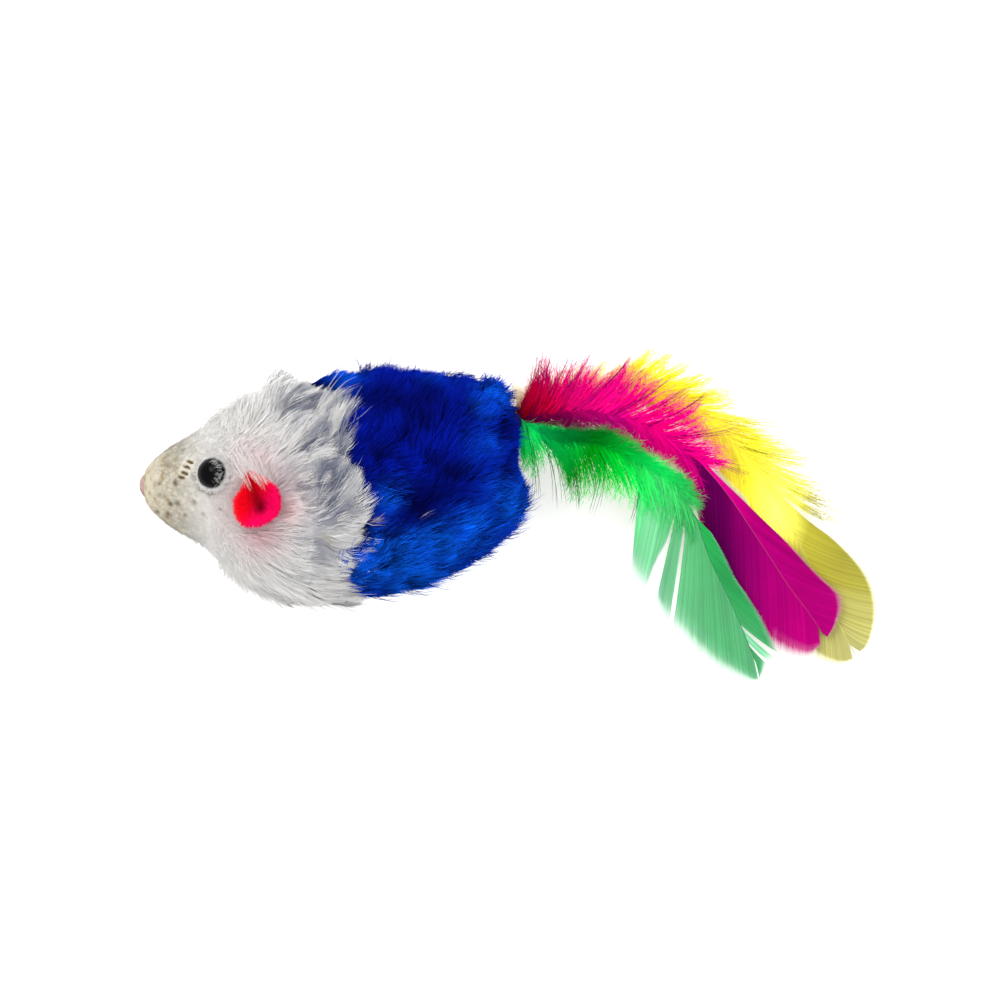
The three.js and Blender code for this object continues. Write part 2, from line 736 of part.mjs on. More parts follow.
function tail(toy) {
  const root = new THREE.Group();
  root.name = 'tail';
  root.position.copy(tailRoot);
  root.add(piece('tail_binding', bindingShape(featherPlans), finishes.glue));
  for (const plan of featherPlans) {
    const spine = spineOf(plan);
    const feather = (color) => ({ ...finishes.feather, color });
    root.add(
      piece(`${plan.name}_quill`, quillShape(plan, spine, 0), feather(plan.quillColor)),
      piece(`${plan.name}_down`, downShape(plan, spine), feather(plan.downColor)),
      piece(`${plan.name}_vane`, vaneShape(plan, spine), feather(plan.color)),
    );
  }
  toy.add(root);
}

const toy = new THREE.Group();
covers(toy);
filling(toy);
rattle(toy);
face(toy);
tail(toy);

// The origin is on the table, under the middle of the toy
toy.updateMatrixWorld(true);
const extent = new THREE.Box3().setFromObject(toy, true);
const middle = extent.getCenter(new THREE.Vector3());
toy.position.set(-middle.x, -middle.y, -extent.min.z);
toy.updateMatrixWorld(true);

export default toy;
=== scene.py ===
import json
import math

import bmesh
import bpy
import numpy as np
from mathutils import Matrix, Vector
from numpy.linalg import norm


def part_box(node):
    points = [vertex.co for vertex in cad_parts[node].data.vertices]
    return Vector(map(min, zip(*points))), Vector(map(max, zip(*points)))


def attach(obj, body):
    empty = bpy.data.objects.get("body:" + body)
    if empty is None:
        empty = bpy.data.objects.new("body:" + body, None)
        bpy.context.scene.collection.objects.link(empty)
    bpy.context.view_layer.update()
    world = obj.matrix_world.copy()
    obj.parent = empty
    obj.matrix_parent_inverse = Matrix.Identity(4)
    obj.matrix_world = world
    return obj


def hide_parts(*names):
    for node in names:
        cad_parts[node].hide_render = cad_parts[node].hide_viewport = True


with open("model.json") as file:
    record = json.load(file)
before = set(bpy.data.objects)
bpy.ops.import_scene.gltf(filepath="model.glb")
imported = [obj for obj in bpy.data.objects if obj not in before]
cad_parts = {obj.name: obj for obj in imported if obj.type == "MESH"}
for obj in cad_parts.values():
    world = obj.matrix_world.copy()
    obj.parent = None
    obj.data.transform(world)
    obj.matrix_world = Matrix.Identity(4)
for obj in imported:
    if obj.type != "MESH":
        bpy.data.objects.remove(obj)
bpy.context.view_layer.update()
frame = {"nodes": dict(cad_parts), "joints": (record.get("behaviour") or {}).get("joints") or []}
print("frame loaded")

mm = 0.001
joints = {joint["name"]: joint for joint in frame["joints"]}
tailRoot = np.array(joints["tail_lift"]["pos_m"])

# The reference picture: what a pixel measures, and the frame's place in its middle
picture = {"pixel": 0.16 * mm, "middlePx": 500, "middle": (-1.13 * mm, 2.7 * mm)}

# Numbers that the solids share with this file: the fits, the body's size, and its two edges as shares
fits = {"gap": 0.3 * mm, "glue": 0.3 * mm}
body = {
    "length": 59 * mm,
    "height": 34 * mm,
    "depth": 33 * mm,
    "wall": 1.2 * mm,
    "seamGap": 0.6 * mm,
    "waistShare": 7 / 12,
    "capsuleShare": -0.015,
    "bellyShares": [
        (0, 0.01), (0.002, 0.07), (0.02, 0.118), (0.075, 0.192), (0.155, 0.269), (0.242, 0.373),
        (0.351, 0.448), (0.486, 0.486), (0.671, 0.5), (0.834, 0.505), (0.943, 0.458), (0.986, 0.34),
        (1, 0.184),
    ],
    "backShares": [
        (0, 0.01), (0.002, -0.056), (0.02, -0.108), (0.075, -0.186), (0.166, -0.274), (0.264, -0.429),
        (0.427, -0.505), (0.633, -0.486), (0.78, -0.392), (0.916, -0.264), (0.986, -0.132), (1.003, 0.033),
        (1, 0.184),
    ],
    "depthShares": [0, 0.13, 0.22, 0.33, 0.45, 0.58, 0.71, 1, 0.985, 0.86, 0.63, 0.39, 0],
}

# The tail's layers: their distance grows past the knot and closes again towards the tips, and the whole
# tail droops towards the table with a power of the distance from the root
tail = {
    "quillRadius": 0.45 * mm, "quillTip": 0.06 * mm, "quillSink": 0.35 * mm, "knotWall": 0.7 * mm,
    "downThickness": 2.4 * mm, "layerGap": 0.4 * mm, "spreadRun": 6 * mm,
    "closeFrom": 0.5, "closeRun": 0.25, "tipClearance": 2 * mm, "dropPower": 1.6, "reach": 79 * mm * 0.86,
}
tail["rootPitch"] = 2 * tail["quillRadius"] + fits["gap"]
tail["downPitch"] = tail["downThickness"] + tail["layerGap"]
tail["knotRadius"] = tail["rootPitch"] + tail["quillRadius"] + fits["gap"] + tail["knotWall"]
tail["drop"] = tailRoot[2] - tail["rootPitch"] - tail["tipClearance"]

capsuleLow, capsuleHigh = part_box("capsule_rear")
bodyOrigin = np.array([
    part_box("head_cover")[0].x,
    (capsuleLow.y + capsuleHigh.y) / 2 - body["capsuleShare"] * body["height"],
    (capsuleLow.z + capsuleHigh.z) / 2,
])


# Small mathematics

def unit(vectors):
    return vectors / np.maximum(norm(vectors, axis=-1, keepdims=True), 1e-12)


# The frame's place of a pixel of the picture, in the plane of the table
def fromPixel(px, py):
    x = picture["middle"][0] + (np.asarray(px) - picture["middlePx"]) * picture["pixel"]
    y = picture["middle"][1] - (np.asarray(py) - picture["middlePx"]) * picture["pixel"]
    return np.stack([x, y], -1)


def dot(a, b):
    return np.sum(a * b, axis=-1, keepdims=True)


def ringAngles(count):
    return np.linspace(0, 2 * np.pi, count, endpoint=False)


# Smooth step: three times the square less twice the cube of a share held between 0 and 1
def smooth(share):
    held = np.clip(share, 0, 1)
    return held * held * (3 - 2 * held)


def fadeFrom(value, start, run):
    return 1 - smooth((value - start) / run)


# Smooth path through points, read at shares of the way with equal steps a point: on each stretch a cubic
# whose end slopes come from the neighbours, weighed by the square roots of the stretches' lengths
def smoothPath(points, shares):
    points = np.asarray(points, float)
    ends = 2 * points[[0, -1]] - points[[1, -2]]
    points = np.vstack([ends[:1], points, ends[1:]])
    place = np.clip(shares, 0, 1) * (len(points) - 3)
    start = np.minimum(np.asarray(place).astype(int), len(points) - 4)
    step = (place - start)[..., None]
    a, b, c, d = (points[start + i] for i in range(4))
    before, here, after = (
        np.sqrt(norm(q - p, axis=-1, keepdims=True)) for p, q in ((a, b), (b, c), (c, d))
    )
    slopeB = ((b - a) / before - (c - a) / (before + here) + (c - b) / here) * here
    slopeC = ((c - b) / here - (d - b) / (here + after) + (d - c) / after) * here
    bend = 3 * (c - b) - 2 * slopeB - slopeC
    return b + step * slopeB + step ** 2 * bend + step ** 3 * (2 * (b - c) + slopeB + slopeC)


# The same path read at shares of its length: the running sum of short chords turns one into the other
def evenPath(points, shares, samples=400):
    fine = np.linspace(0, 1, samples)
    chords = norm(np.diff(smoothPath(points, fine), axis=0), axis=1)
    run = np.concatenate([[0], np.cumsum(chords)])
    return smoothPath(points, np.interp(shares, run / run[-1], fine))


# Smooth random field between about -1 and 1: the mean of sine waves that run in random directions
def waves(points, size, seed, count=7):
    draw = np.random.default_rng(seed)
    heading = unit(draw.normal(size=(count, 3)))
    phase = draw.uniform(0, 2 * np.pi, count)
    stretch = draw.uniform(0.7, 1.4, count)
    return np.sin(points @ (heading * stretch[:, None]).T * (2 * np.pi / size) + phase).mean(-1) * 1.7


# Cloth surface: the middle between the belly edge and the back edge, plus half their distance times the
# cosine of the angle, and the depth there times its sine upwards
def clothPoint(along, angle):
    along, angle = np.broadcast_arrays(along, angle)
    depth = np.array(body["depthShares"])[:, None] * body["depth"] / 2
    scale = np.array([body["length"], body["height"]])
    belly = smoothPath(np.hstack([np.array(body["bellyShares"]) * scale, depth]), along)
    back = smoothPath(np.hstack([np.array(body["backShares"]) * scale, depth]), along)
    middle, reach = (belly + back) / 2, (belly - back) / 2
    turn = np.stack([np.cos(angle), np.cos(angle), np.zeros_like(angle)], -1)
    lift = np.stack([np.ones_like(angle), np.ones_like(angle), np.sin(angle)], -1)
    return middle * lift + reach * turn + bodyOrigin


# Cloth normal: the cross product of short steps round the body and along it
def clothNormal(along, angle, step=0.002):
    forward = clothPoint(np.minimum(along + step, 1), angle) - clothPoint(np.maximum(along - step, 0), angle)
    around = clothPoint(along, angle + step) - clothPoint(along, angle - step)
    return unit(np.cross(around, forward))


# A dimple for the tail's knot: points nearer to the root than the radius move out onto that ball
def dimple(points, radius):
    away = points - tailRoot
    distance = norm(away, axis=-1, keepdims=True)
    return np.where(distance < radius, tailRoot + unit(away) * radius, points)


# Meshes

def addObject(name, data):
    thing = bpy.data.objects.new(name, data)
    bpy.context.scene.collection.objects.link(thing)
    return thing


def newPiece(name, mesh, material, bodyName, replaced=()):
    piece = addObject(name, mesh)
    mesh.materials.append(material)
    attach(piece, bodyName)
    if replaced:
        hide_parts(*replaced)
    return piece


def fillMesh(name, points, faces, uvs, values):
    corners = np.concatenate([face.ravel() for face in faces])
    sizes = np.concatenate([np.full(len(face), face.shape[1]) for face in faces])
    mesh = bpy.data.meshes.new(name)
    mesh.vertices.add(len(points))
    mesh.vertices.foreach_set("co", points.astype(np.float32).ravel())
    mesh.loops.add(len(corners))
    mesh.loops.foreach_set("vertex_index", corners.astype(np.int32))
    mesh.polygons.add(len(sizes))
    starts = np.concatenate([[0], np.cumsum(sizes)[:-1]])
    mesh.polygons.foreach_set("loop_start", starts.astype(np.int32))
    mesh.polygons.foreach_set("use_smooth", np.ones(len(sizes), bool))
    mesh.update(calc_edges=True)
    flat = np.concatenate([uv.reshape(-1, 2) for uv in uvs])
    mesh.uv_layers.new(name="OFBake").data.foreach_set("uv", flat.astype(np.float32).ravel())
    for label, value in values.items():
        attribute = mesh.attributes.new(label, "FLOAT", "POINT")
        attribute.data.foreach_set("value", np.asarray(value, np.float32).ravel())
    return mesh


# Cells between rows of points that run round: the numbers of their corners, and their places on the map
def rowCells(count, around):
    row, side = (grid.ravel() for grid in np.mgrid[0:count - 1, 0:around])
    steps = ((0, 0), (0, 1), (1, 1), (1, 0))
    quads = [(row + up) * around + (side + on) % around for up, on in steps]
    places = [np.stack([(side + on) / around, (row + up + 1) / (count + 1)], 1) for up, on in steps]
    return np.stack(quads, 1), np.stack(places, 1)


# Closed skin: rows of points that run round it, and one point at each end. Its faces are turned outwards
# if the sum of the corners' triple products is negative
def skinMesh(name, rows, first, last, values=None):
    count, around = rows.shape[:2]
    points = np.concatenate([rows.reshape(-1, 3), first[None], last[None]])
    quads, quadUv = rowCells(count, around)
    ring, end, edge = np.arange(around), count * around, 1 / (count + 1)
    fans, fanUv = [], []
    for start, turns, pole, height, top in (
        (0, (1, 0), end, edge, 0), (end - around, (0, 1), end + 1, 1 - edge, 1),
    ):
        fans.append(np.stack([start + (ring + on) % around for on in turns] + [ring * 0 + pole], 1))
        places = [((ring + on) / around, ring * 0 + height) for on in turns]
        fanUv.append(np.moveaxis([*places, (ring / around, ring * 0 + top)], -1, 0))
    fans, fanUv = np.concatenate(fans), np.concatenate(fanUv)
    centred = points - points.mean(0)
    a, b, c, d = (centred[quads[:, i]] for i in range(4))
    if np.sum(a * np.cross(b, c)) + np.sum(a * np.cross(c, d)) < 0:
        quads, quadUv, fans, fanUv = (part[:, ::-1] for part in (quads, quadUv, fans, fanUv))
    return fillMesh(name, points, (quads, fans), (quadUv, fanUv), values or {})


# Fibres: tapered tubes of three sides along their lines, closed at the root and pointed at the tip.
# Lines are (fibre, step, 3), and wide and thick are half sizes across the line and out of its plane.
# Each fibre is shaded as if it faced the way given for it, so that a mass of them looks soft. A fibre that
# is seen from below as well has the opposite way on the faces that are turned from it
def fibreMesh(name, lines, wide, thick, across, values, facing, twoSided=False):
    count, steps = lines.shape[:2]
    rings = steps - 1
    tangent = unit(np.gradient(lines, axis=1))
    across = unit(across - tangent * dot(across, tangent))
    up = np.cross(tangent, across)
    turn = np.pi / 2 + np.arange(3) * 2 * np.pi / 3
    ring = (
        lines[:, :-1, None]
        + (wide[:, :-1, None] * np.cos(turn))[..., None] * across[:, :-1, None]
        + (thick[:, :-1, None] * np.sin(turn))[..., None] * up[:, :-1, None]
    )
    points = np.concatenate([ring.reshape(count, rings * 3, 3), lines[:, -1:]], 1).reshape(-1, 3)
    tip = rings * 3
    ends = np.array([[2, 1, 0], [tip - 3, tip - 2, tip], [tip - 2, tip - 1, tip], [tip - 1, tip - 3, tip]])
    cells = math.ceil(math.sqrt(count))
    number = np.arange(count)
    cell = np.stack([number % cells, number // cells], 1)[:, None]
    place = np.stack([np.tile([0.1, 0.5, 0.9], rings), np.repeat(np.arange(rings), 3) / rings], 1)
    place = np.append(place, [[0.5, 1]], 0) * [1, 0.8] + [0, 0.1]
    faces, uvs = [], []
    for shape in (rowCells(rings, 3)[0], ends):
        faces.append((shape[None] + (number * (tip + 1))[:, None, None]).reshape(-1, shape.shape[1]))
        uvs.append((place[shape.ravel()][None] + cell) / cells)
    spread = {}
    for label, value in values.items():
        steady = np.broadcast_to(np.asarray(value).reshape(count, -1), (count, steps))
        spread[label] = np.concatenate([np.repeat(steady[:, :-1], 3, axis=1), steady[:, -1:]], 1)
    mesh = fillMesh(name, points, faces, uvs, spread)
    facing = np.broadcast_to(facing, (count, 3))
    if not twoSided:
        mesh.normals_split_custom_set_from_vertices(np.repeat(facing, tip + 1, axis=0).tolist())
        return mesh
    normals = []
    for face in faces:
        a, b, c = (points[face[:, i]] for i in range(3))
        steady = np.repeat(facing, len(face) // count, axis=0)
        side = np.where(dot(np.cross(b - a, c - a), steady) < 0, -1.0, 1.0)
        normals.append(np.repeat(steady * side, face.shape[1], axis=0))
    mesh.normals_split_custom_set(np.concatenate(normals).tolist())
    return mesh


# What hairs of one kind share: half sizes that taper from the radius, and a random way across for each
def strands(lines, radius, taper, draw):
    radii = np.broadcast_to(np.array(taper) * radius, lines.shape[:2])
    return radii, radii, np.broadcast_to(unit(draw.normal(size=(len(lines), 1, 3))), lines.shape)


def nearestOf(points, choices, block=4000):
    found = []
    for start in range(0, len(points), block):
        gap = norm(points[start:start + block, None] - choices[None], axis=-1)
        found.append(gap.argmin(1))
    return np.concatenate(found)


# Tufts: fibres are sorted to the nearest of some centres, and drawn to the mean line of their tuft, more
# so towards their tips
def sortTufts(roots, count, draw):
    return nearestOf(roots, roots[draw.choice(len(roots), count, replace=False)])


def pullTufts(lines, tuft, pull):
    count = tuft.max() + 1
    size = np.maximum(np.bincount(tuft, minlength=count), 1)[:, None, None]
    total = np.zeros((count, *lines.shape[1:]))
    np.add.at(total, tuft, lines)
    share = np.linspace(0, 1, lines.shape[1])[None, :, None] ** 1.3
    return lines + ((total / size)[tuft] - lines) * pull * share


# How much a point belongs to the spots of a list of pixels with a radius and a strength: the strengths
# times bell curves of the distance, of which the largest counts
def spotShare(points, spots):
    found = np.zeros(points.shape[:-1])
    for px, py, radius, strength in spots:
        away = norm(points[..., :2] - fromPixel(px, py), axis=-1) / (radius * picture["pixel"])
        found = np.maximum(found, strength * np.exp(-away ** 2))
    return found


# Node helpers: a value that is a socket is linked, and any other is set

def put(tree, socket, value):
    if isinstance(value, bpy.types.NodeSocket):
        tree.links.new(value, socket)
    else:
        socket.default_value = value


def addNode(tree, kind, inputs=None, **settings):
    node = tree.nodes.new(kind)
    for label, value in settings.items():
        setattr(node, label, value)
    for label, value in (inputs or {}).items():
        put(tree, node.inputs[label], value)
    return node


def mixColors(tree, factor, first, second):
    inputs = {0: factor, 6: first, 7: second}
    return addNode(tree, "ShaderNodeMix", inputs, data_type="RGBA").outputs[2]


def calculate(tree, operation, first, second, held=False):
    inputs = {0: first, 1: second}
    return addNode(tree, "ShaderNodeMath", inputs, operation=operation, use_clamp=held).outputs[0]


def scaled(tree, value, factor, offset):
    return calculate(tree, "ADD", calculate(tree, "MULTIPLY", value, factor), offset)


def addNoise(tree, scale, detail):
    place = addNode(tree, "ShaderNodeTexCoord").outputs["Object"]
    inputs = {"Vector": place, "Scale": scale, "Detail": detail}
    return addNode(tree, "ShaderNodeTexNoise", inputs).outputs["Fac"]


def addBump(tree, height, strength, distance):
    inputs = {"Strength": strength, "Distance": distance, "Height": height}
    return addNode(tree, "ShaderNodeBump", inputs).outputs["Normal"]


def showShader(tree, shader):
    addNode(tree, "ShaderNodeOutputMaterial", {"Surface": shader})


def addPrincipled(tree, inputs):
    return addNode(tree, "ShaderNodeBsdfPrincipled", inputs).outputs["BSDF"]


def readAttribute(tree, label):
    return addNode(tree, "ShaderNodeAttribute", attribute_name=label).outputs["Fac"]


def newGroup(name, inputs, outputs):
    group = bpy.data.node_groups.new(name, "ShaderNodeTree")
    kinds = {float: "NodeSocketFloat", tuple: "NodeSocketColor"}
    for label, value in inputs.items():
        socket = group.interface.new_socket(name=label, in_out="INPUT", socket_type=kinds[type(value)])
        socket.default_value = value
    for label, kind in outputs.items():
        group.interface.new_socket(name=label, in_out="OUTPUT", socket_type=kinds[kind])
    return group, group.nodes.new("NodeGroupInput").outputs, group.nodes.new("NodeGroupOutput").inputs


# Inner values of the two shared shaders: roughness is the first number times a share or a height, plus the
# second, and the coarse grain's scale is a share of the fine one's
shading = {
    "fibreRough": (-0.15, 0.75), "patchDetail": 3.0,
    "grainRough": (0.3, 0.3), "fineDetail": 4.0, "coarseDetail": 2.0, "coarseScale": 0.18,
    "sharpFrom": 0.35, "sharpTo": 0.65, "bumpDepth": 0.1 * mm, "specular": 0.4, "coatRoughness": 0.08,
}


# Fibre colour: from the root's to the tip's, lighter or darker by fibre and by patch
def makeFibreShade():
    group, given, result = newGroup("fibreShade", {
        "Root Color": (0.1, 0.1, 0.1, 1.0), "Tip Color": (0.8, 0.8, 0.8, 1.0), "Along": 0.5, "Tint": 0.5,
        "Sharpness": 1.0, "Tint Amount": 0.3, "Patch Scale": 300.0, "Patch Amount": 0.2,
    }, {"Color": tuple, "Roughness": float})
    share = calculate(group, "POWER", given["Along"], given["Sharpness"], held=True)
    color = mixColors(group, share, given["Root Color"], given["Tip Color"])
    noise = addNoise(group, given["Patch Scale"], shading["patchDetail"])
    changes = [
        calculate(group, "MULTIPLY", calculate(group, "SUBTRACT", value, 0.5), given[amount])
        for value, amount in ((noise, "Patch Amount"), (given["Tint"], "Tint Amount"))
    ]
    light = calculate(group, "ADD", calculate(group, "ADD", *changes), 1.0)
    shade = addNode(group, "ShaderNodeHueSaturation", {"Color": color, "Value": light})
    put(group, result["Color"], shade.outputs["Color"])
    put(group, result["Roughness"], scaled(group, share, *shading["fibreRough"]))
    return group


# Fine grain: a height and a colour mask from two sizes of noise
def makeGrain():
    group, given, result = newGroup("fineGrain", {
        "Scale": 900.0, "Coarse Share": 0.4,
        "Low Color": (0.4, 0.4, 0.4, 1.0), "High Color": (0.6, 0.6, 0.6, 1.0),
    }, {"Color": tuple, "Height": float, "Roughness": float})
    fine = addNoise(group, given["Scale"], shading["fineDetail"])
    wide = calculate(group, "MULTIPLY", given["Scale"], shading["coarseScale"])
    blend = {0: given["Coarse Share"], 2: fine, 3: addNoise(group, wide, shading["coarseDetail"])}
    height = addNode(group, "ShaderNodeMix", blend, data_type="FLOAT").outputs[0]
    sharp = addNode(group, "ShaderNodeMapRange", {
        "Value": height, "From Min": shading["sharpFrom"], "From Max": shading["sharpTo"],
    })
    put(group, result["Color"], mixColors(group, sharp.outputs[0], given["Low Color"], given["High Color"]))
    put(group, result["Height"], height)
    put(group, result["Roughness"], scaled(group, height, *shading["grainRough"]))
    return group


fibreShade = makeFibreShade()
fineGrain = makeGrain()


def newMaterial(name):
    material = bpy.data.materials.new(name)
    material.use_nodes = True
    tree = material.node_tree
    tree.nodes.clear()
    return material, tree


# Fibres let some light through: a plain shader mixed with a translucent one of the same colour
def fibreMaterial(name, look, recolor=None):
    material, tree = newMaterial(name)
    root, tip = look["root"], look["tip"]
    if recolor:
        root, tip = recolor(tree, root, tip)
    shade = addNode(tree, "ShaderNodeGroup", {
        "Root Color": root, "Tip Color": tip, "Sharpness": look["sharpness"], "Tint Amount": look["tint"],
        "Patch Scale": look["patchScale"], "Patch Amount": look["patch"],
        "Along": readAttribute(tree, "alongFibre"), "Tint": readAttribute(tree, "tint"),
    }, node_tree=fibreShade).outputs
    color = shade["Color"]
    plain = addPrincipled(tree, {
        "Base Color": color, "Roughness": shade["Roughness"], "Specular IOR Level": look["specular"],
    })
    through = addNode(tree, "ShaderNodeBsdfTranslucent", {"Color": color}).outputs[0]
    blend = addNode(tree, "ShaderNodeMixShader", {0: look["glow"], 1: plain, 2: through})
    showShader(tree, blend.outputs[0])
    return material


# Plain solids: grain in the colour and the roughness, and a fine bump
def grainMaterial(name, look):
    material, tree = newMaterial(name)
    grain = addNode(tree, "ShaderNodeGroup", {
        "Scale": look["scale"], "Coarse Share": look["coarse"],
        "Low Color": look["low"], "High Color": look["high"],
    }, node_tree=fineGrain).outputs
    showShader(tree, addPrincipled(tree, {
        "Base Color": grain["Color"],
        "Roughness": calculate(tree, "ADD", grain["Roughness"], look["rougher"], held=True),
        "Normal": addBump(tree, grain["Height"], look["bump"], shading["bumpDepth"]),
        "Specular IOR Level": look.get("specular", shading["specular"]),
        "Coat Weight": look.get("coat", 0.0), "Coat Roughness": shading["coatRoughness"],
    }))
    return material


# Camera, floor and light

studio = {
    "aimHeight": 16 * mm,
    "lens": 400,
    "view": 1000 * picture["pixel"],
    "floorSize": 3.0,
    "clipFrom": 0.01,
    "clipTo": 50,
    "floorColor": (0.97, 0.97, 0.965, 1),
    "floorRoughness": 0.9,
    "worldStrength": 1.32,
    "lamps": [
        # place, size, power
        ((-0.35, 0.45, 0.75), 0.45, 5.6),
        ((0.5, 0.3, 0.65), 0.6, 3.2),
        ((0.1, -0.6, 0.6), 0.6, 2.8),
    ],
}


def makeStudio():
    scene = bpy.context.scene
    camera = addObject("camera", bpy.data.cameras.new("camera"))
    scene.camera = camera
    camera.data.lens = studio["lens"]
    camera.data.clip_start = studio["clipFrom"]
    camera.data.clip_end = studio["clipTo"]
    distance = studio["view"] * studio["lens"] / camera.data.sensor_width
    camera.location = (*picture["middle"], studio["aimHeight"] + distance)
    half = studio["floorSize"] / 2
    sheet = bpy.data.meshes.new("floor")
    corners = [(x * half, y * half, 0) for x, y in ((-1, -1), (1, -1), (1, 1), (-1, 1))]
    sheet.from_pydata(corners, [], [(0, 1, 2, 3)])
    material, tree = newMaterial("floorPaper")
    showShader(tree, addPrincipled(tree, {
        "Base Color": studio["floorColor"], "Roughness": studio["floorRoughness"],
    }))
    sheet.materials.append(material)
    addObject("floor", sheet)
    for number, (place, size, power) in enumerate(studio["lamps"], 1):
        light = bpy.data.lights.new(f"lamp{number}", "AREA")
        light.shape = "DISK"
        light.size = size
        light.energy = power
        lamp = addObject(light.name, light)
        lamp.location = place
        lamp.rotation_euler = (-Vector(place)).to_track_quat("-Z", "Y").to_euler()
    world = bpy.data.worlds.new("studioWorld")
    scene.world = world
    world.use_nodes = True
    background = world.node_tree.nodes["Background"].inputs
    background["Color"].default_value = (1, 1, 1, 1)
    background["Strength"].default_value = studio["worldStrength"]
    scene.view_settings.view_transform = "Standard"


makeStudio()
print("studio ready")


# Seats of the eyes and ears on the cloth, the right ones up and the left ones mirrored in the middle plane

face = {
    "eyeShare": 0.3675, "eyeAngle": 1.335, "eyeRadius": 2.36 * mm, "eyeHeight": 2 * mm,
    "earShare": 0.462, "earAngle": 1.614, "earNeck": 0.6 * mm,
    "earLift": 0.2 * mm, "earDepth": 1.5 * mm, "earWall": 0.7 * mm,
}


def seatOn(along, angle, rise):
    normal = clothNormal(np.array(along), np.array(angle))
    return clothPoint(along, angle) + normal * rise, normal


def turnTo(points, normal):
    turn = np.array(Vector((0, 0, 1)).rotation_difference(Vector(normal)).to_matrix())
    return points @ turn.T


def mirrorUp(points):
    return points * [1, 1, -1] + [0, 0, 2 * bodyOrigin[2]]


# Both flanks: the side's name, points moved to it, and what turns a way to it
def flanks(*parts):
    return (
        ("right", parts, np.array([1, 1, 1])),
        ("left", [mirrorUp(part) for part in parts], np.array([1, 1, -1])),
    )


padRise = fits["gap"] * 2 + fits["glue"]
eyeSeat, eyeNormal = seatOn(face["eyeShare"], face["eyeAngle"], padRise)
earSeat, earNormal = seatOn(face["earShare"], face["earAngle"], padRise + face["earNeck"])


# Cloth covers

coverLook = {
    "rows": 120,
    "innerRows": 16,
    "around": 168,
    "knitWaves": (900.0, 640.0),
    # size, strength and seed of the waves that make the mottle
    "mottleWaves": ((1.9 * mm, 1, 3), (1.9 * mm / 2, 0.6, 4)),
    "mottleAmount": 0.9,
    "mottleFade": (0.22, 0.12),
    # from this share of the body the cloth's bare look fades, over the second share
    "bareFade": (0.24, 0.12),
    "speckTo": 0.4,
    "speckDepth": 0.2 * mm,
    "ladderEdge": (0.75, 0.4),
    "ladderPx": [(191, 462), (188, 467), (185.5, 473), (182.5, 477.5)],
    "ladderSize": (0.68 * mm, 0.32 * mm),
    "ladderLean": -20,
    # x, y, radius and strength of the dark specks
    "specks": [
        (171, 504, 2.4, 1.0), (178, 503, 2.2, 0.9), (195, 502, 2.2, 0.9), (211, 493, 3.0, 1.0),
        (221, 509, 1.8, 0.9), (176, 483, 2.6, 1.0), (157, 512, 2.2, 0.8), (168, 514, 2.6, 0.8),
        (160, 484, 2.2, 0.7), (186, 515, 2.0, 0.8), (169, 466, 3.2, 0.5), (201, 489, 2.2, 0.7),
        (160, 495, 3.5, 0.5), (204, 514, 2.0, 0.7), (183, 451, 2.0, 0.4), (197, 478, 2.6, 0.6),
    ],
    "snoutColor": (0.37, 0.34, 0.27, 1),
    # painted shade: the cloth under the white pile is grey, as the shade seen between its fibres
    "backingShadeColor": (0.5, 0.49, 0.46, 1),
    "mottleColor": (0.25, 0.2, 0.12, 1),
    "knitColor": (0.36, 0.31, 0.22, 1),
    "speckColor": (0.07, 0.045, 0.015, 1),
    "knitAmount": 0.2,
    "knitWave": {"Distortion": 3.0, "Detail": 2.0, "Detail Scale": 1.5},
    # painted shade: the cloth under the blue pile is near black, as the shade seen between its fibres, with
    # a lighter thread
    "blueShadeColor": (0.0003, 0.001, 0.02, 1),
    "blueShadeThread": (0.0006, 0.003, 0.05, 1),
    "threadScale": 1400.0, "threadDetail": 5.0, "bump": 0.15, "bumpDepth": 0.05 * mm, "roughness": 0.95,
}


# Worn places are the same on both flanks, so the lower flank is folded up before they are read
def foldUp(points):
    return np.where(points[..., 2:] > bodyOrigin[2], points, mirrorUp(points))


def ladderShare(points, grown=1.0):
    mask = np.zeros(points.shape[:-1])
    lean = math.radians(coverLook["ladderLean"])
    wide, tall = (size * grown for size in coverLook["ladderSize"])
    for px, py in coverLook["ladderPx"]:
        away = points[..., :2] - fromPixel(px, py)
        u = away[..., 0] * math.cos(lean) + away[..., 1] * math.sin(lean)
        v = -away[..., 0] * math.sin(lean) + away[..., 1] * math.cos(lean)
        mask = np.maximum(mask, fadeFrom(np.hypot(u / wide, v / tall), *coverLook["ladderEdge"]))
    return mask


def speckShare(points, along):
    folded = foldUp(points)
    shown = along < coverLook["speckTo"]
    return np.maximum(spotShare(folded, coverLook["specks"]), ladderShare(folded)) * shown


def mottleShare(points, along):
    cloud = sum(gain * waves(points, size, seed) for size, gain, seed in coverLook["mottleWaves"])
    return np.clip(cloud * coverLook["mottleAmount"], 0, 1) * fadeFrom(along, *coverLook["mottleFade"])


def bareShare(along):
    return fadeFrom(along, *coverLook["bareFade"])


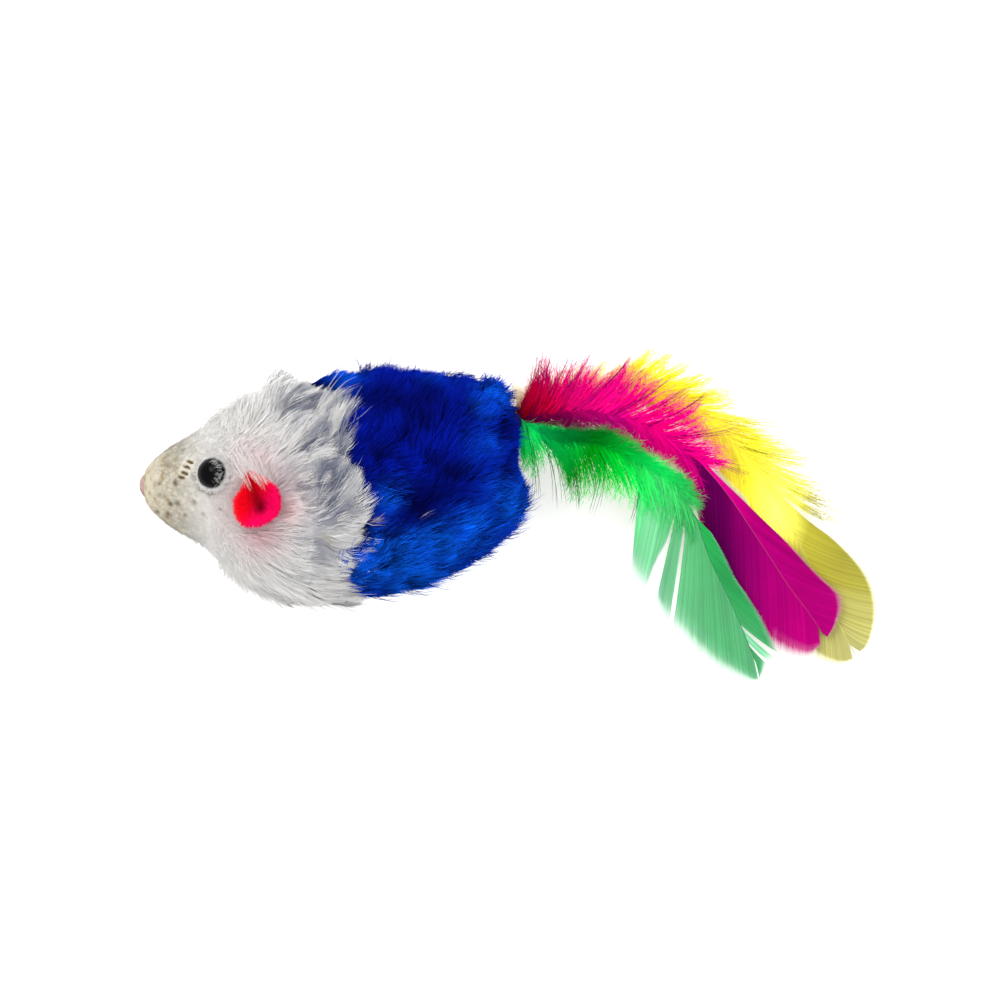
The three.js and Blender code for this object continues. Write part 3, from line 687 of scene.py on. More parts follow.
def coverRows(fromShare, toShare, knitted):
    angle = ringAngles(coverLook["around"])[None]
    way = toShare - fromShare
    outerShare = fromShare + way * np.linspace(0, 1, coverLook["rows"] + 1)[1:, None]
    innerShare = fromShare + way * np.linspace(1, 0, coverLook["innerRows"] + 1)[:-1, None]
    outer = clothPoint(outerShare, angle)
    inner = clothPoint(innerShare, angle) - clothNormal(innerShare, angle) * body["wall"]
    mottle = speck = np.zeros(outer.shape[:-1])
    if knitted:
        speck, mottle = speckShare(outer, outerShare), mottleShare(outer, outerShare)
        outer = outer - clothNormal(outerShare, angle) * speck[..., None] * coverLook["speckDepth"]
    else:
        knotRadius = tail["knotRadius"] + fits["gap"]
        outer = dimple(outer, knotRadius)
        inner = dimple(inner, knotRadius + body["wall"])
    rows = np.concatenate([outer, inner])
    rows[..., 2] = np.maximum(rows[..., 2], 0)
    pole = clothPoint(np.array(fromShare), np.array(0.0))
    inwards = np.array([body["wall"] if knitted else -body["wall"], 0, 0])
    pad = np.zeros(inner.size // 3 + 2)
    shares = {"speck": speck, "mottle": mottle, "bare": bareShare(outerShare + 0 * angle)}
    return rows, pole, pole + inwards, {label: np.append(value, pad) for label, value in shares.items()}


def coverMaterial(name, knitted):
    material, tree = newMaterial(name)
    thread = addNoise(tree, coverLook["threadScale"], coverLook["threadDetail"])
    if knitted:
        bare = readAttribute(tree, "bare")
        # the grey backing is painted shade, and the snout's colour is its own
        color = mixColors(tree, bare, coverLook["backingShadeColor"], coverLook["snoutColor"])
        color = mixColors(tree, readAttribute(tree, "mottle"), color, coverLook["mottleColor"])
        place = addNode(tree, "ShaderNodeTexCoord").outputs["Object"]
        rows, wales = (
            addNode(tree, "ShaderNodeTexWave", {
                "Vector": place, "Scale": scale, **coverLook["knitWave"],
            }, bands_direction=way).outputs["Fac"]
            for way, scale in zip("XY", coverLook["knitWaves"])
        )
        knit = calculate(tree, "MULTIPLY", calculate(tree, "MULTIPLY", rows, wales), coverLook["knitAmount"])
        color = mixColors(tree, knit, color, coverLook["knitColor"])
        color = mixColors(tree, readAttribute(tree, "speck"), color, coverLook["speckColor"])
    else:
        # painted shade: the near-black cloth under the blue pile
        color = mixColors(tree, thread, coverLook["blueShadeColor"], coverLook["blueShadeThread"])
    showShader(tree, addPrincipled(tree, {
        "Base Color": color, "Roughness": coverLook["roughness"], "Specular IOR Level": 0.0,
        "Normal": addBump(tree, thread, coverLook["bump"], coverLook["bumpDepth"]),
    }))
    return material


def makeCovers():
    gapShare = body["seamGap"] / body["length"]
    plans = (
        ("headCloth", 0.0, body["waistShare"] - gapShare, True, "head_cover", "white_plush"),
        ("rearCloth", 1.0, body["waistShare"] + gapShare, False, "rear_cover", "blue_plush"),
    )
    for name, fromShare, toShare, knitted, node, slot in plans:
        rows, first, last, values = coverRows(fromShare, toShare, knitted)
        mesh = skinMesh(name, rows, first, last, values)
        cover = newPiece(name, mesh, coverMaterial(name, knitted), "mouse", (node,))


makeCovers()
print("covers done")


# Pile of the plush

pile = {
    "steps": 4,
    # half sizes from root to tip, as shares of the radius
    "taper": [1, 0.95, 0.75, 0.2],
    # tries for each root, the large patch that all are measured by, and where the pile is thinned how much:
    # below this sine of the angle, and at the snout
    "triesEach": 7, "largePatch": 0.97, "underneath": (-0.4, 0.4),
    "snoutThin": 0.04, "snoutFade": (0.12, 0.14),
    # how far a comb guide reaches, and how much lengths, lifts and tints vary
    "combSize": 5.5 * mm, "lengthVary": (0.7, 1.12), "liftSize": 7 * mm, "liftVary": 0.4, "lockTint": 0.3,
    # loose strands are longer and stand higher, and tufts hold them and short ones less
    "looseLength": 1.25, "looseLift": 1.8, "looseHeld": 0.3, "heldFrom": 2.6 * mm, "heldLeast": 0.05,
    "frontSettled": 0.95, "frontStand": 0.5, "bowPower": 1.1, "fineFade": (0.34, 0.12),
    # pile round an eye is moved aside, pile under an ear's cup is held this far below it, and none grows
    # from the ladder
    "eyeReach": 4 * mm, "eyeClear": 3 * mm, "earReach": 5 * mm, "earClear": 0.25 * mm,
    "ladderGrown": 1.5, "ladderLeast": 0.3,
    # nearer to the nose than this share of the body the pile is short and has one step less
    "shortTo": 0.38,
    # how far the shading of the pile turns from the cloth's own way to straight up or down
    "facingUp": 0.9,
    "white": {
        "count": 47000, "pieces": 4, "fromShare": 0.02, "toShare": 0.615, "seed": 11, "radius": 0.036 * mm,
        "lengthAt": (
            [0, 0.12, 0.2, 0.28, 0.34, 0.4, 0.45, 0.5, 0.54, 0.585],
            [0.25, 0.3, 0.5, 0.9, 1.5, 2.7, 4.8, 6.6, 6.4, 5.4],
        ),
        # x, y, radius and share by which the pile is longer or shorter there
        "lengthSpots": [
            (350, 508, 11, 0.3), (334, 412, 14, 0.25), (338, 436, 14, 0.2), (345, 572, 22, -0.75),
            (308, 376, 26, -0.92), (282, 388, 16, -0.5), (375, 592, 20, -0.85), (346, 476, 12, -0.35),
            (355, 538, 16, -0.6),
        ],
        # x, y and heading of the pile, in degrees from the tail's way towards the belly
        "combPx": [
            (190, 440, 42), (180, 500, 5), (200, 540, -38), (250, 400, 32), (240, 590, -30), (300, 385, 22),
            (280, 450, 30), (300, 500, 24), (280, 550, -5), (330, 410, 44), (335, 460, 38), (340, 505, 34),
            (330, 550, 32), (310, 595, -4), (370, 596, 4),
        ],
        "swirl": 22, "swirlSize": 7 * mm, "stray": 0.19, "rise": 0.15, "standOut": 0.2, "wool": 0.6,
        "woolFrom": 0.37, "woolRun": 0.13, "frizz": 0.13, "curl": 0.16, "fineFront": 0.5,
        # how many tufts there are, how much they pull, and how far they turn, lengthen and lift
        "tufts": ((150, 0.35, 14, 0.2, 0.5), (420, 0.4, 13, 0.25, 0.8), (1500, 0.3, 9, 0.15, 0.4)),
        "loose": 0.012,
    },
    "blue": {
        "count": 44500, "pieces": 4, "fromShare": 0.49, "toShare": 0.999, "seed": 12, "radius": 0.056 * mm,
        "lengthAt": ([0.58, 0.64, 0.8, 0.88, 0.94, 1], [4.6, 6.0, 5.0, 3.6, 2.2, 1.8]),
        "lengthSpots": [
            (470, 388, 14, -0.6), (494, 392, 10, 0.3), (506, 404, 8, -0.6), (505, 422, 10, -0.3),
            (410, 372, 26, -0.55), (445, 374, 24, -0.5), (345, 374, 16, -0.35), (480, 392, 10, -0.4),
            (512, 466, 14, -0.4), (512, 510, 14, 0.1), (378, 370, 14, -0.4),
            (503, 470, 12, -0.3), (395, 590, 14, 0.4),
        ],
        "combPx": [
            (340, 380, 25), (372, 400, 62), (410, 385, 78), (450, 385, 58), (490, 395, 45), (370, 450, 55),
            (410, 440, 76), (450, 430, 58), (495, 430, 38), (365, 505, 42), (400, 500, 48), (440, 490, 50),
            (490, 490, 32), (350, 572, 60), (375, 560, 30), (398, 540, 24), (430, 545, 22), (480, 530, 26),
            (405, 590, -8), (440, 575, 8), (510, 510, 22), (505, 425, 2),
        ],
        "swirl": 15, "swirlSize": 8 * mm, "stray": 0.34, "rise": 0.13, "standOut": 0.2, "wool": 0.0,
        "woolFrom": 0.3, "woolRun": 0.1, "frizz": 0.22, "curl": 0.1, "fineFront": 0.0,
        "tufts": ((150, 0.3, 16, 0.2, 0.5), (1700, 0.4, 14, 0.25, 0.6)),
        "loose": 0.006,
    },
    # painted shade: each pile's root colour is darker than its tip, as the shade deep in the pile, most in
    # the blue
    "whiteLook": {
        "root": (0.78, 0.77, 0.75, 1), "tip": (0.95, 0.94, 0.92, 1), "sharpness": 0.7, "tint": 0.16,
        "patchScale": 260.0, "patch": 0.12, "glow": 0.42, "specular": 0.05,
    },
    "blueLook": {
        "root": (0.0003, 0.001, 0.02, 1), "tip": (0.0006, 0.013, 0.5, 1), "sharpness": 1.3, "tint": 2.0,
        "patchScale": 220.0, "patch": 1.2, "glow": 0.4, "specular": 0.02,
    },
    "shadeRoot": (0.02, 0.024, 0.06, 1), "shadeTip": (0.24, 0.26, 0.36, 1),
    "shadeSpots": [
        (338, 440, 38, 1.2), (336, 480, 24, 1.5), (338, 505, 30, 1.1), (320, 545, 28, 0.8),
        (325, 402, 28, 1.0), (300, 480, 24, 0.6), (302, 402, 22, 1.0), (300, 560, 24, 0.5),
        (350, 590, 20, 0.4),
    ],
    # painted light: a lighter blue tip colour for the spots below, where the rims and edges of the blue pile
    # catch the light
    "paintedLightTip": (0.003, 0.15, 1.0, 1),
    # x, y, radius and share of the body by which the one pile reaches past the seam
    "blueBeyond": [(351, 576, 20, 0.09), (322, 374, 16, 0.09)],
    "whiteBeyond": [(345, 425, 16, 0.01), (352, 450, 16, 0.005)],
    "paintedLightSpots": [
        (345, 374, 20, 0.6), (440, 368, 20, 0.4), (495, 396, 22, 0.7), (486, 445, 20, 0.4),
        (512, 505, 30, 0.8), (402, 562, 32, 1.9), (440, 543, 26, 1.6), (475, 530, 26, 0.9),
        (435, 578, 28, 1.2), (362, 572, 22, 1.0), (380, 548, 20, 1.0), (397, 500, 16, 1.2),
        (350, 560, 20, 0.9),
    ],
    # painted shade: a darker blue tip colour for the spots below, where the middle of the blue pile lies in
    # shade
    "paintedShadeTip": (0.0002, 0.002, 0.12, 1),
    "paintedShadeSpots": [
        (385, 400, 22, 0.7), (425, 405, 26, 0.8), (378, 445, 20, 0.5), (425, 500, 24, 0.95),
        (440, 475, 18, 0.6), (465, 490, 14, 0.5), (455, 402, 12, 0.5), (505, 428, 12, 0.8),
        (405, 516, 14, 0.8),
    ],
    "blushColor": (0.88, 0.42, 0.47, 1),
    "blushSpots": [(262, 532, 24, 0.6), (283, 508, 18, 0.7), (255, 470, 26, 0.4), (258, 500, 36, 0.55)],
    "dirtColor": (0.42, 0.33, 0.2, 1),
    "dirtSpots": [(258, 415, 3, 0.6), (253, 423, 2, 0.7), (331, 540, 4, 0.6)],
    "lintColor": (0.86, 0.74, 0.62, 1),
    "lintSpots": [(378, 521, 2.6, 1.0), (428, 514, 1.5, 0.8)],
    # how a lock's own number turns into painted shade and painted light, and how strong the stains are on
    # the pile
    "lockShade": (2, -0.3), "lockPaintedLight": (0.85, 0.45), "bareAmount": 0.8, "mottleAmount": 0.6,
}


# Roots spread evenly over the cloth: tries are kept as often as the patch that they stand for is large,
# and less often underneath, where the toy rests
def scatter(plan, draw):
    tries = plan["count"] * pile["triesEach"]
    along = draw.uniform(plan["fromShare"], plan["toShare"], tries)
    angle = draw.uniform(0, 2 * np.pi, tries)
    step = 0.002
    ahead = clothPoint(np.minimum(along + step, 1), angle) - clothPoint(np.maximum(along - step, 0), angle)
    beside = clothPoint(along, angle + step) - clothPoint(along, angle)
    area = norm(np.cross(ahead, beside), axis=-1)
    below, thinned = pile["underneath"]
    share = area / np.quantile(area, pile["largePatch"]) * np.where(np.sin(angle) < below, thinned, 1)
    share *= 1 - (1 - pile["snoutThin"]) * fadeFrom(along, *pile["snoutFade"])
    kept = np.flatnonzero(draw.random(tries) < share)[:plan["count"]]
    return along[kept], angle[kept]


# The way the pile is combed: the mean of the guides' headings, weighed by bell curves of the distance
def combHeading(points, guides, size):
    total = np.zeros((*points.shape[:-1], 2))
    for px, py, degrees in guides:
        away = norm(points[..., :2] - fromPixel(px, py), axis=-1)
        weight = np.exp(-(away / size) ** 2) + 1e-6
        total += weight[..., None] * [math.cos(math.radians(degrees)), math.sin(math.radians(degrees))]
    return np.arctan2(total[..., 1], total[..., 0])


# Height over a seat, the way from its axis and the distance from it
def overSeat(points, seat, normal):
    away = points - seat
    height = dot(away, normal)
    flat = away - normal * height
    return height, flat, norm(flat, axis=-1, keepdims=True)


# Pile flows round the eyes: the distance from the middle becomes the fourth root of the sum of its own
# and the radius's fourth powers. Below an ear's cup the pile is held down. The lower flank is folded up
def flowRoundFace(lines):
    lower = lines[..., 2:] < bodyOrigin[2]
    folded = np.where(lower, mirrorUp(lines), lines)
    height, flat, distance = overSeat(folded, eyeSeat, eyeNormal)
    near = (np.abs(height) < pile["eyeReach"]) & (distance < 3 * face["eyeRadius"])
    moved = (distance ** 4 + face["eyeRadius"] ** 4) ** 0.25
    folded = np.where(near, eyeSeat + eyeNormal * height + unit(flat) * moved, folded)
    height, flat, distance = overSeat(folded, earSeat, earNormal)
    reach = earReach(np.arctan2(flat[..., 1], flat[..., 0]))[..., None] * ear["clothShare"]
    share = np.clip(distance / reach, 0, 1)
    cup = face["earLift"] + face["earDepth"] * share ** 2 - pile["earClear"]
    held = (np.abs(height) < pile["earReach"]) & (distance < reach) & (height > cup)
    folded = np.where(held, folded - earNormal * (height - cup), folded)
    return np.where(lower, mirrorUp(folded), folded)


def clearOfFace(lines):
    height, _, distance = overSeat(foldUp(lines[:, 0]), eyeSeat, eyeNormal)
    return ~((distance < face["eyeRadius"] / 2) & (np.abs(height) < pile["eyeClear"]))[:, 0]


# Pile lines: from the root along the combed way held close to the cloth, rising towards the tip and
# bending a little to one side
def pileLines(plan, draw):
    along, angle = scatter(plan, draw)
    root, normal = clothPoint(along, angle), clothNormal(along, angle)
    count = len(root)
    folded = foldUp(root)
    heading = combHeading(folded, plan["combPx"], pile["combSize"])
    heading += np.radians(plan["swirl"]) * waves(root, plan["swirlSize"], plan["seed"])
    length = np.interp(along, *plan["lengthAt"]) * mm * draw.uniform(*pile["lengthVary"], count)
    for spot in plan["lengthSpots"]:
        length *= 1 + np.sign(spot[3]) * spotShare(folded, [(*spot[:3], abs(spot[3]))])
    lift = plan["rise"] * (1 + pile["liftVary"] * waves(root, pile["liftSize"], plan["seed"] + 5))
    tint = draw.uniform(0, 1, count)
    front = fadeFrom(along, plan["woolFrom"], plan["woolRun"]) * (plan["wool"] > 0)
    settled = 1 - front * pile["frontSettled"]
    bend = draw.normal(scale=plan["frizz"], size=count)
    groups = []
    for tufts, pull, turn, lengthen, raised in plan["tufts"]:
        tuft = sortTufts(root, tufts, draw)
        heading += np.radians(turn) * draw.normal(size=tufts)[tuft] * settled
        length *= 1 + lengthen * draw.uniform(-1, 1, tufts)[tuft] * settled
        lift *= 1 + raised * draw.uniform(-1, 1, tufts)[tuft] * settled
        lock = draw.uniform(0, 1, tufts)[tuft]
        bend += draw.normal(scale=plan["curl"], size=tufts)[tuft] * settled
        tint = tint * (1 - pile["lockTint"]) + lock * pile["lockTint"]
        groups.append((tuft, pull))
    loose = draw.random(count) < plan["loose"]
    length *= np.where(loose, pile["looseLength"], 1)
    lift *= np.where(loose, pile["looseLift"], 1)
    comb = np.stack([np.cos(heading), np.sin(heading), np.zeros(count)], -1)
    comb = comb + draw.normal(size=comb.shape) * (plan["stray"] + plan["wool"] * front)[:, None]
    lean = dot(comb, normal)[:, 0]
    stand = np.clip(lean, 0, plan["standOut"] + pile["frontStand"] * front)
    comb = unit(comb - normal * (lean - stand)[:, None])
    beside = np.cross(normal, comb) * bend[:, None]
    share = np.linspace(0, 1, pile["steps"])[None, :, None]
    lines = root[:, None] + length[:, None, None] * (
        comb[:, None] * share ** pile["bowPower"] + beside[:, None] * share ** 2
        + normal[:, None] * lift[:, None, None] * (1 - (1 - share) ** 2)
    )
    held = np.where(loose, pile["looseHeld"], 1) * np.clip(length / pile["heldFrom"], pile["heldLeast"], 1)
    for tuft, pull in groups:
        lines = pullTufts(lines, tuft, pull * (held * settled)[:, None, None])
    lines[..., 2] = np.maximum(lines[..., 2], plan["radius"])
    return lines, {"tint": tint, "lock": lock, "along": along, "angle": angle, "normal": normal}


def whiteColors(tree, root, tip):
    shade, bare = readAttribute(tree, "shade"), readAttribute(tree, "bare")
    stains = (
        ("blush", pile["blushColor"]), ("mottle", coverLook["mottleColor"]),
        ("dirt", pile["dirtColor"]), ("speck", coverLook["speckColor"]),
    )
    colors = []
    for color, shaded in ((root, pile["shadeRoot"]), (tip, pile["shadeTip"])):
        color = mixColors(tree, shade, color, shaded)
        color = mixColors(tree, bare, color, coverLook["snoutColor"])
        for label, stain in stains:
            color = mixColors(tree, readAttribute(tree, label), color, stain)
        colors.append(color)
    return colors


def blueColors(tree, root, tip):
    # painted light and painted shade mixed into the blue pile's tips
    tip = mixColors(tree, readAttribute(tree, "bright"), tip, pile["paintedLightTip"])
    tip = mixColors(tree, readAttribute(tree, "dim"), tip, pile["paintedShadeTip"])
    lint = readAttribute(tree, "lint")
    return [mixColors(tree, lint, color, pile["lintColor"]) for color in (root, tip)]


def pileValues(label, part, along, lock):
    folded = foldUp(part)
    middle = folded[:, len(part[0]) // 2]
    if label == "blue":
        upper = part[..., 2] > bodyOrigin[2]
        # painted light on the blue pile's lit spots, stronger on some locks, and painted shade on its shaded
        # spots
        gain, least = pile["lockPaintedLight"]
        bright = spotShare(middle, pile["paintedLightSpots"]) * (least + gain * lock)
        dim = spotShare(middle, pile["paintedShadeSpots"])
        lint = spotShare(folded, pile["lintSpots"]) * upper
        return {"bright": bright * (1 - dim), "dim": dim, "lint": lint}
    gain, least = pile["lockShade"]
    return {
        "shade": spotShare(middle, pile["shadeSpots"]) * smooth(gain * lock + least),
        "bare": bareShare(along) * pile["bareAmount"],
        "blush": spotShare(folded, pile["blushSpots"]), "dirt": spotShare(folded, pile["dirtSpots"]),
        "mottle": mottleShare(part[:, 0], along) * pile["mottleAmount"],
        "speck": speckShare(part[:, 0], along),
    }


def makePile(label, recolor):
    plan = pile[label]
    draw = np.random.default_rng(plan["seed"])
    lines, given = pileLines(plan, draw)
    kept = norm(lines[:, 0] - tailRoot, axis=-1) > tail["knotRadius"]
    edge = body["waistShare"] - spotShare(lines[:, 0], pile["blueBeyond"])
    edge = edge + spotShare(lines[:, 0], pile["whiteBeyond"])
    kept &= (given["along"] > edge) == (label == "blue")
    if label == "white":
        ladder = ladderShare(foldUp(lines[:, 0]), pile["ladderGrown"])
        kept &= clearOfFace(lines) & (ladder < pile["ladderLeast"])
        lines = flowRoundFace(lines)
    lines = lines[kept]
    given = {key: value[kept] for key, value in given.items()}
    material = fibreMaterial(f"{label}Pile", pile[f"{label}Look"], recolor)
    short = given["along"] < pile["shortTo"]
    longer = np.flatnonzero(~short)
    ordered = longer[np.argsort(given["angle"][longer])]
    batches = [(np.flatnonzero(short), [0, 2, 3])] if short.any() else []
    batches += [(chosen, [0, 1, 2, 3]) for chosen in np.array_split(ordered, plan["pieces"])]
    for number, (chosen, steps) in enumerate(batches, 1):
        part = lines[chosen][:, steps]
        along, lock = given["along"][chosen], given["lock"][chosen]
        finer = plan["fineFront"] * fadeFrom(along, *pile["fineFade"])
        taper = np.array(pile["taper"])[steps] * plan["radius"]
        bundle = strands(part, 1 - finer[:, None], taper, draw)
        run = np.broadcast_to(np.linspace(0, 1, pile["steps"])[steps], part.shape[:2])
        values = {"alongFibre": run, "tint": given["tint"][chosen], **pileValues(label, part, along, lock)}
        upwards = np.sign(part[:, :1, 2] - bodyOrigin[2]) * [0, 0, pile["facingUp"]]
        name = f"{label}Pile{number}"
        mesh = fibreMesh(name, part, *bundle, values, unit(given["normal"][chosen] + upwards))
        newPiece(name, mesh, material, "mouse")
    return material


# Hairs round the eyes: a collar that closes the pile round the bead, and a few fine ones that reach over
# the dome from behind. Places are shares of the bead's radius, heights are over its seat
lashes = {
    "collar": {"count": 420, "angles": (0, 360), "start": (1.1, 1.4), "reach": (1.02, 1.12),
               "startHeight": -0.6 * mm, "radius": 0.035 * mm},
    "fringe": {"count": 100, "angles": (-55, 80), "start": (1.05, 1.2), "reach": (0.45, 0.98),
               "startHeight": 0.1 * mm, "radius": 0.016 * mm},
    "taper": [1, 0.9, 0.7, 0.2], "lift": 0.35 * mm, "swerve": 0.25, "domeShare": 0.95, "seed": 14,
    # from x, y to x, y, and count of the hairs over the ear's tip
    "veil": [
        (243, 470, 252, 489, 14), (250, 467, 262, 488, 18), (258, 470, 274, 490, 16),
        (266, 475, 280, 496, 10),
    ],
    "veilSpread": 3.0, "veilLift": 0.4 * mm, "veilEnds": 0.6, "veilBack": 0.8, "veilRadius": 0.017 * mm,
}


def addFaceHairs(label, material, lines, radius, facing, draw):
    bundle = strands(lines, radius, lashes["taper"], draw)
    along = np.broadcast_to(np.linspace(0, 1, pile["steps"]), lines.shape[:2])
    values = {"alongFibre": along, "tint": draw.uniform(0, 1, len(lines))}
    for side, (points,), turn in flanks(lines):
        mesh = fibreMesh(f"{side}{label}", points, *bundle, values, facing * turn)
        newPiece(f"{side}{label}", mesh, material, "mouse")


def makeLashes(material):
    draw = np.random.default_rng(lashes["seed"])
    share = np.linspace(0, 1, pile["steps"])[None, :]
    for label in ("collar", "fringe"):
        plan = lashes[label]
        count = plan["count"]
        angle = np.radians(draw.uniform(*plan["angles"], count))[:, None]
        angle = angle + draw.normal(scale=lashes["swerve"], size=(count, 1)) * share
        start, end = draw.uniform(*plan["start"], (count, 1)), draw.uniform(*plan["reach"], (count, 1))
        place = start + (end - start) * share
        lift = lashes["lift"] * share
        dome = face["eyeHeight"] * np.sqrt(1 - np.clip(place, 0, 1) ** 2) * lashes["domeShare"]
        height = np.where(place < 1, dome, plan["startHeight"] * (1 - share)) + lift
        flat = place * face["eyeRadius"]
        lines = np.stack([flat * np.cos(angle), flat * np.sin(angle), height], -1)
        lines = turnTo(lines, eyeNormal) + eyeSeat
        addFaceHairs(f"Eye{label.capitalize()}", material, lines, plan["radius"], eyeNormal, draw)


# The outline of an ear, as pixels round its seat, and what lies inside it
ear = {
    "outlinePx": [
        (283, 502), (281, 491), (270, 481), (257, 473), (250, 470), (246, 476), (245, 486), (241, 491),
        (234, 502), (236, 518), (243, 527), (251, 528), (270, 522), (281, 512),
    ],
    "clothShare": 0.9,
    "rings": 26, "around": 90,
    "foldWide": 0.95 * mm, "foldDeep": 0.7 * mm,
    # x, y and depth of the fold from the tip inwards
    "foldPx": ((251, 473, 0.3), (257, 490, 0.5), (263, 507, 1.0)),
    # the cup's wave along its edge, how much of the fold shows, and the lower side's size
    "waveHeight": 0.25 * mm, "waveCount": 3, "waveTurn": 0.6, "foldStart": 0.35, "foldGrowth": 0.5,
    "lower": 0.985,
    "pileCount": 6500, "pileSteps": 3, "pileLength": 0.9 * mm, "pileRadius": 0.048 * mm, "seed": 21,
    "taper": [1, 0.8, 0.2], "upperShare": 0.65, "lengthVary": (0.6, 1.1), "shortMiddle": 0.3,
    # the pile's lean outwards in the middle and at the edge, its rise and its stray
    "lean": (0.4, 0.6), "rise": 0.18, "lowerRise": 0.8, "stray": 0.22,
    "tufts": 380, "tuftPull": 0.3, "tuftTint": 0.4, "skinAlong": 0.35,
    # which way the ear turns pink, over what run and from where, and where its edge turns pale
    "pinkWay": (0.8, -0.55), "pinkRun": 3 * mm, "pinkStart": 0.35, "pinkAmount": 0.8,
    "paleFrom": 0.8, "paleAmount": 0.5,
    "look": {
        "root": (0.85, 0.0002, 0.009, 1), "tip": (0.99, 0.001, 0.018, 1), "sharpness": 0.8, "tint": 0.2,
        "patchScale": 420.0, "patch": 0.15, "glow": 0.5, "specular": 0.03,
    },
    "pinkColor": (0.99, 0.002, 0.15, 1),
    "paleColor": (0.98, 0.22, 0.3, 1),
    # painted shade: dark red laid into the ear's fold, where the crease lies in shade
    "foldShadeColor": (0.24, 0.0, 0.004, 1),
}


# Radius of the ear in the direction of an angle: read between the outline's points
def earReach(angle):
    away = fromPixel(*np.array(ear["outlinePx"]).T) - earSeat[:2]
    heading = np.arctan2(away[:, 1], away[:, 0])
    order = np.argsort(heading)
    return np.interp(angle, heading[order], norm(away, axis=-1)[order], period=2 * np.pi)


# The veil's height: over the ear's edge it is the cup's own height plus the lift, most in the middle
def makeVeil(material):
    draw = np.random.default_rng(lashes["seed"] + 1)
    share = np.linspace(0, 1, pile["steps"])[None, :, None]
    guides = np.concatenate([np.repeat([guide[:4]], guide[4], axis=0) for guide in lashes["veil"]])
    guides = guides + draw.normal(scale=lashes["veilSpread"], size=guides.shape)
    start, end = fromPixel(guides[:, 0], guides[:, 1]), fromPixel(guides[:, 2], guides[:, 3])
    flat = start[:, None] + (end - start)[:, None] * share
    flat[:, 0] -= (end - start) * lashes["veilBack"]
    away = flat - earSeat[:2]
    distance = norm(away, axis=-1) / earReach(np.arctan2(away[..., 1], away[..., 0]))
    cup = face["earLift"] + face["earWall"] + face["earDepth"] * np.clip(distance, 0, 1) ** 2
    height = earSeat[2] + cup + lashes["veilLift"] * (lashes["veilEnds"] + np.sin(share[..., 0] * np.pi))
    height[:, 0] -= face["earDepth"] + face["earWall"]
    lines = np.concatenate([flat, height[..., None]], -1)
    addFaceHairs("EarVeil", material, lines, lashes["veilRadius"], np.array([0, 0, 1]), draw)


whitePile = makePile("white", whiteColors)
makePile("blue", blueColors)
makeLashes(whitePile)
makeVeil(whitePile)
print("pile done")


# Eyes: a dome that is round at its rim, its height over its radius taken from an ellipse

eyeLook = {
    "rings": 28, "around": 72, "rimShare": 0.12,
    # the rim's rows, closing underneath, as shares of the radius and heights over the seat
    "rimRadii": [0.99, 0.96, 0.5], "rimHeights": [0.05 * mm, 0, 0],
    "scuffScale": 700.0, "scuffDetail": 3.0, "specular": 0.045,
    "scuff": {"From Min": 0.5, "From Max": 0.75, "To Min": 0.12, "To Max": 0.35},
    "color": (0.0005, 0.0005, 0.0006, 1), "scuffColor": (0.004, 0.004, 0.005, 1),
}


def makeEyes():
    material, tree = newMaterial("eyeGloss")
    noise = addNoise(tree, eyeLook["scuffScale"], eyeLook["scuffDetail"])
    scuff = addNode(tree, "ShaderNodeMapRange", {"Value": noise, **eyeLook["scuff"]}).outputs[0]
    showShader(tree, addPrincipled(tree, {
        "Base Color": mixColors(tree, scuff, eyeLook["color"], eyeLook["scuffColor"]),
        "Roughness": scuff, "Specular IOR Level": eyeLook["specular"],
    }))
    swing = np.linspace(np.pi / 2, 0, eyeLook["rings"] + 1)[1:]
    rim = face["eyeHeight"] * eyeLook["rimShare"]
    radius = np.append(np.cos(swing), eyeLook["rimRadii"])[:, None] * face["eyeRadius"]
    height = np.append(np.sin(swing) * (face["eyeHeight"] - rim) + rim, eyeLook["rimHeights"])[:, None]
    angle = ringAngles(eyeLook["around"])
    rows = np.stack([radius * np.cos(angle), radius * np.sin(angle), height + 0 * angle], -1)
    parts = (rows, np.array([0, 0, face["eyeHeight"]]), np.zeros(3))
    for side, points, _ in flanks(*(turnTo(part, eyeNormal) + eyeSeat for part in parts)):
        mesh = skinMesh(f"{side}EyeBead", *points)
        newPiece(f"{side}EyeBead", mesh, material, "mouse", (f"{side}_eye",))


makeEyes()


# Ears: a felt cup with a fold that runs in from its tip. Distance from the fold's nearest stretch, in a
# bell curve
def foldShare(x, y):
    px, py, strength = np.array(ear["foldPx"]).T
    places = fromPixel(px, py) - earSeat[:2]
    found = np.zeros(np.shape(x))
    for index, (top, end) in enumerate(zip(places[:-1], places[1:])):
        run = end - top
        share = np.clip(((x - top[0]) * run[0] + (y - top[1]) * run[1]) / (run @ run), 0, 1)
        gap = np.hypot(x - top[0] - run[0] * share, y - top[1] - run[1] * share)
        here = strength[index] + (strength[index + 1] - strength[index]) * share
        found = np.maximum(found, here * np.exp(-(gap / ear["foldWide"]) ** 2))
    return found


# Ear surface: the outline's radius times the share, rising with the square of the share, and pressed in
# along the fold
def earPoint(share, angle, rise):
    reach = earReach(angle) * ear["clothShare"] * share
    x, y = reach * np.cos(angle), reach * np.sin(angle)
    wave = ear["waveHeight"] * share ** 2 * np.sin(angle * ear["waveCount"] + ear["waveTurn"])
    fold = ear["foldDeep"] * foldShare(x, y) * (ear["foldStart"] + ear["foldGrowth"] * share)
    z = face["earLift"] + face["earDepth"] * share ** 2 + wave - fold + rise
    return np.stack([x - z * earNormal[0], y - z * earNormal[1], z], -1)


